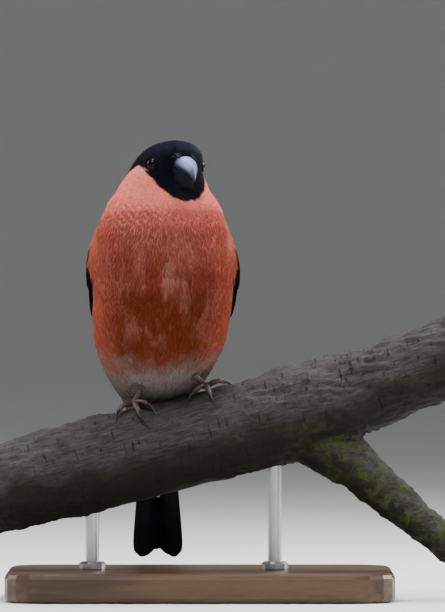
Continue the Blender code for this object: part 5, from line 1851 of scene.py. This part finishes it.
class BirdLook(bpy.types.PropertyGroup):
    """Colours of the bird, the perch and the stand."""
    cap: colour_property("Cap", "Black of the cap and bib", (0.003, 0.004, 0.010))
    # Painted sheen: blue laid into the black of the cap on the crown and in patches.
    cap_painted_sheen: colour_property("Cap gloss", "Blue gloss of the cap", (0.009, 0.013, 0.040))
    # Painted light: cheeks and throat made far lighter than the breast, for the light from above.
    cheek_with_painted_light: colour_property("Cheek", "Cheeks and throat", (0.97, 0.27, 0.215))
    breast: colour_property("Breast", "Upper breast", (0.34, 0.080, 0.064))
    flank: colour_property("Flank", "Outer edge of the breast", (0.44, 0.108, 0.070))
    # Deeper orange of the lower breast, painted darker as shade under the light from above.
    lower_breast_with_painted_shade: colour_property("Lower breast", "Breast and flanks", (0.160, 0.028, 0.0095))
    frost: colour_property("Frosting", "Paler tips of the breast", (0.36, 0.14, 0.105))
    # Belly and thighs: greyish white, painted dark grey as shade under the body.
    belly: colour_property("Belly", "Belly and vent", (0.205, 0.172, 0.16))
    thigh: colour_property("Thigh", "Short thigh feathers", (0.23, 0.195, 0.182))
    mantle: colour_property("Mantle", "Grey of the back", (0.20, 0.21, 0.235))
    shoulder: colour_property("Shoulder", "Small feathers of the bend", (0.20, 0.12, 0.095))
    rump: colour_property("Rump", "White of rump and vent", (0.76, 0.75, 0.73))
    pale_spot: colour_property("Pale spot", "Feathers behind the eye", (0.62, 0.47, 0.42))
    flight: colour_property("Flight feathers", "Wing and tail", (0.010, 0.010, 0.014))
    # Painted sheen of wing and tail, laid into their black in patches.
    flight_painted_sheen: colour_property("Gloss", "Blue gloss of wing and tail", (0.016, 0.020, 0.050))
    feather_edge: colour_property("Feather edge", "Outer edge of the hand", (0.045, 0.042, 0.045))
    wing_bar: colour_property("Wing bar", "Tips of the greater coverts", (0.50, 0.50, 0.50))
    shaft: colour_property("Shaft", "Shafts of the feathers", (0.010, 0.009, 0.009))
    # Painted highlight: the bill is black; this pale blue stands for the light on top of the upper
    # bill.
    bill: colour_property("Bill", "Upper half of the bill", (0.175, 0.205, 0.44))
    bill_edge: colour_property("Bill edge", "Cutting edge of the bill", (0.012, 0.012, 0.016))
    bill_lower: colour_property("Lower bill", "Lower half of the bill", (0.010, 0.011, 0.020))
    bill_tip: colour_property("Bill tip", "Tip of the bill", (0.020, 0.020, 0.030))
    # Painted highlight on the black bristles.
    bristle: colour_property("Bristles", "Bristles over the nostrils", (0.22, 0.235, 0.29))
    pupil: colour_property("Pupil", "Pupil of the eye", (0.002, 0.002, 0.002))
    iris: colour_property("Iris", "Iris of the eye", (0.010, 0.005, 0.003))
    iris_edge: colour_property("Iris edge", "Rim of the iris", (0.003, 0.002, 0.002))
    lid: colour_property("Lid", "Skin round the eye", (0.006, 0.006, 0.008))
    leg: colour_property("Leg", "Scutes of the legs", (0.115, 0.052, 0.038))
    leg_dark: colour_property("Leg grooves", "Grooves between the scutes", (0.045, 0.022, 0.016))
    claw: colour_property("Claw", "Claws", (0.012, 0.010, 0.010))
    claw_root: colour_property("Claw root", "Root of the claws", (0.05, 0.035, 0.028))
    bark: colour_property("Bark", "Grey-brown of the bark", (0.016, 0.013, 0.0105))
    # Painted highlight of the bark's top.
    bark_painted_highlight: colour_property("Pale bark", "Lilac-grey of the lit top", (0.064, 0.056, 0.060))
    # Dark of streaks and cracks, and painted shade of the underside.
    bark_dark_and_painted_shade: colour_property("Dark bark", "Cracks and underside", (0.006, 0.005, 0.004))
    moss: colour_property("Algae", "Green bloom", (0.050, 0.072, 0.012))
    lichen: colour_property("Lichen", "Pale lichen", (0.15, 0.137, 0.15))
    cut_pale: colour_property("Cut wood", "Pale rings", (0.55, 0.38, 0.22))
    cut_dark: colour_property("Cut rings", "Dark rings", (0.36, 0.21, 0.11))
    stand_wood: colour_property("Stand wood", "Base", (0.105, 0.055, 0.028))
    stand_wood_dark: colour_property("Stand grain", "Grain of the base", (0.05, 0.024, 0.012))
    steel: colour_property("Steel", "Rods", (0.62, 0.62, 0.63))
    steel_dark: colour_property("Dark steel", "Brushing of the rods", (0.48, 0.48, 0.49))
    floor: colour_property("Floor", "Floor and backdrop", (0.78, 0.78, 0.76))


class PlumageSizes(bpy.types.PropertyGroup):
    """Sizes and numbers of the feathers and of the small things on the perch."""
    cover: FloatProperty(name="Cover", description="Layers of feathers over each other",
                         default=26.0, min=4.0, max=40.0)
    wing_margin: FloatProperty(name="Wing margin", default=4.0,
                               description="Degrees by which body feathers overlap the wing")
    shaft_place: FloatProperty(name="Shaft", default=VANE_SHAFT,
                               description="Place of the shaft across a vane")
    barb_gap: FloatProperty(name="Barbs", description="Spacing of the barbs along a vane",
                            default=0.022, min=0.005, max=0.2)
    bristles: IntProperty(name="Bristles", description="Bristles on each side of the bill",
                          default=60, min=0, max=300)
    lesser_coverts: IntProperty(name="Lesser coverts", default=520, min=0, max=2000,
                                description="Small feathers over the arm of each wing")
    flank_feathers: IntProperty(name="Flank feathers", default=1500, min=0, max=4000,
                                description="Long feathers over the front of each wing")
    thigh_feathers: IntProperty(name="Thigh feathers", default=900, min=0, max=3000,
                                description="Short feathers of each thigh")
    lenticels: IntProperty(name="Pores", description="Pores of the bark", default=240, min=0)
    seed: IntProperty(name="Seed", description="Seed of all that is strewn", default=7)


class StageSizes(bpy.types.PropertyGroup):
    """Camera and lights."""
    pixel: FloatProperty(name="Scale", description="Width of one photo dot on the object",
                         default=0.00034, precision=5, unit="LENGTH")
    centre_x: FloatProperty(name="Centre x", description="Middle of the view", default=0.00765,
                            unit="LENGTH")
    centre_z: FloatProperty(name="Centre z", description="Middle of the view", default=0.100,
                            unit="LENGTH")
    camera_distance: FloatProperty(name="Distance", description="Camera to the bird",
                                   default=2.5, unit="LENGTH")
    camera_rise: FloatProperty(name="Rise", description="Camera's angle over the level",
                               default=math.radians(0.3), subtype="ANGLE")
    key_power: FloatProperty(name="Key", description="Power of the key light", default=5.5)
    top_power: FloatProperty(name="Top", description="Power of the top light", default=10.0)
    rim_power: FloatProperty(name="Rim", description="Power of the right rim light", default=4.5)
    fill_power: FloatProperty(name="Fill", description="Power of the fill light", default=1.2)
    sky: FloatProperty(name="Sky", description="Strength of the surroundings", default=0.28)


class BodyBuilder(bpy.types.Operator):
    """Builds the skin and the small feathers over it."""
    bl_idname = "bullfinch.body"
    bl_label = "Skin and small feathers"

    def execute(self, context):
        scene = context.scene
        make_skin(scene.bullfinch_look)
        make_coat(scene.bullfinch_sizes, scene.bullfinch_look)
        return {"FINISHED"}


class WingBuilder(bpy.types.Operator):
    """Builds the folded wings from tiers of vanes."""
    bl_idname = "bullfinch.wings"
    bl_label = "Wings"

    def execute(self, context):
        scene = context.scene
        make_wings(scene.bullfinch_sizes, scene.bullfinch_look)
        return {"FINISHED"}


class TailBuilder(bpy.types.Operator):
    """Builds the tail feathers and their coverts."""
    bl_idname = "bullfinch.tail"
    bl_label = "Tail"

    def execute(self, context):
        scene = context.scene
        make_tail(scene.bullfinch_sizes, scene.bullfinch_look)
        return {"FINISHED"}


class HeadBuilder(bpy.types.Operator):
    """Builds the bill with its bristles, and the eyes with their lids."""
    bl_idname = "bullfinch.head"
    bl_label = "Bill and eyes"

    def execute(self, context):
        scene = context.scene
        make_bill(scene.bullfinch_look)
        make_bristles(scene.bullfinch_sizes, scene.bullfinch_look)
        make_eyes(scene.bullfinch_look)
        return {"FINISHED"}


class LegBuilder(bpy.types.Operator):
    """Builds the legs, toes and claws."""
    bl_idname = "bullfinch.legs"
    bl_label = "Legs"

    def execute(self, context):
        scene = context.scene
        make_legs(scene.bullfinch_look)
        return {"FINISHED"}


class PerchBuilder(bpy.types.Operator):
    """Builds the forked branch with its bark, pores and cut ends."""
    bl_idname = "bullfinch.perch"
    bl_label = "Perch"

    def execute(self, context):
        scene = context.scene
        make_perch(scene.bullfinch_look)
        lenticels(scene.bullfinch_sizes, scene.bullfinch_look)
        return {"FINISHED"}


class StandBuilder(bpy.types.Operator):
    """Finishes the base and rods of the stand."""
    bl_idname = "bullfinch.stand"
    bl_label = "Stand"

    def execute(self, context):
        scene = context.scene
        make_stand(scene.bullfinch_look)
        return {"FINISHED"}


class StageBuilder(bpy.types.Operator):
    """Sets the floor, the lights and the camera."""
    bl_idname = "bullfinch.stage"
    bl_label = "Stage"

    def execute(self, context):
        scene = context.scene
        make_floor(scene.bullfinch_look)
        make_lights(scene.bullfinch_stage)
        make_camera(scene.bullfinch_stage)
        return {"FINISHED"}


BUILDERS = (BodyBuilder, WingBuilder, TailBuilder, HeadBuilder, LegBuilder, PerchBuilder,
            StandBuilder, StageBuilder)
GROUPS = (("bullfinch_look", BirdLook), ("bullfinch_sizes", PlumageSizes),
          ("bullfinch_stage", StageSizes))


class BullfinchPanel(bpy.types.Panel):
    """Lists the pieces and their settings."""
    bl_idname = "VIEW3D_PT_bullfinch"
    bl_label = "Bullfinch"
    bl_space_type = "VIEW_3D"
    bl_region_type = "UI"
    bl_category = "Bullfinch"

    def draw(self, context):
        for builder in BUILDERS:
            self.layout.operator(builder.bl_idname)
        for key, group in GROUPS:
            box = self.layout.box()
            for name in group.__annotations__:
                box.prop(getattr(context.scene, key), name)


def register():
    for group in (BirdLook, PlumageSizes, StageSizes, *BUILDERS, BullfinchPanel):
        bpy.utils.register_class(group)
    for key, group in GROUPS:
        setattr(bpy.types.Scene, key, PointerProperty(type=group))


def unregister():
    for key, group in GROUPS:
        delattr(bpy.types.Scene, key)
    for group in (BullfinchPanel, *reversed(BUILDERS), StageSizes, PlumageSizes, BirdLook):
        bpy.utils.unregister_class(group)


def main():
    register()
    bpy.ops.bullfinch.stage()
    bpy.ops.bullfinch.body()
    bpy.ops.bullfinch.wings()
    bpy.ops.bullfinch.tail()
    bpy.ops.bullfinch.head()
    bpy.ops.bullfinch.legs()
    bpy.ops.bullfinch.perch()
    bpy.ops.bullfinch.stand()


if __name__ == "__main__":
    main()
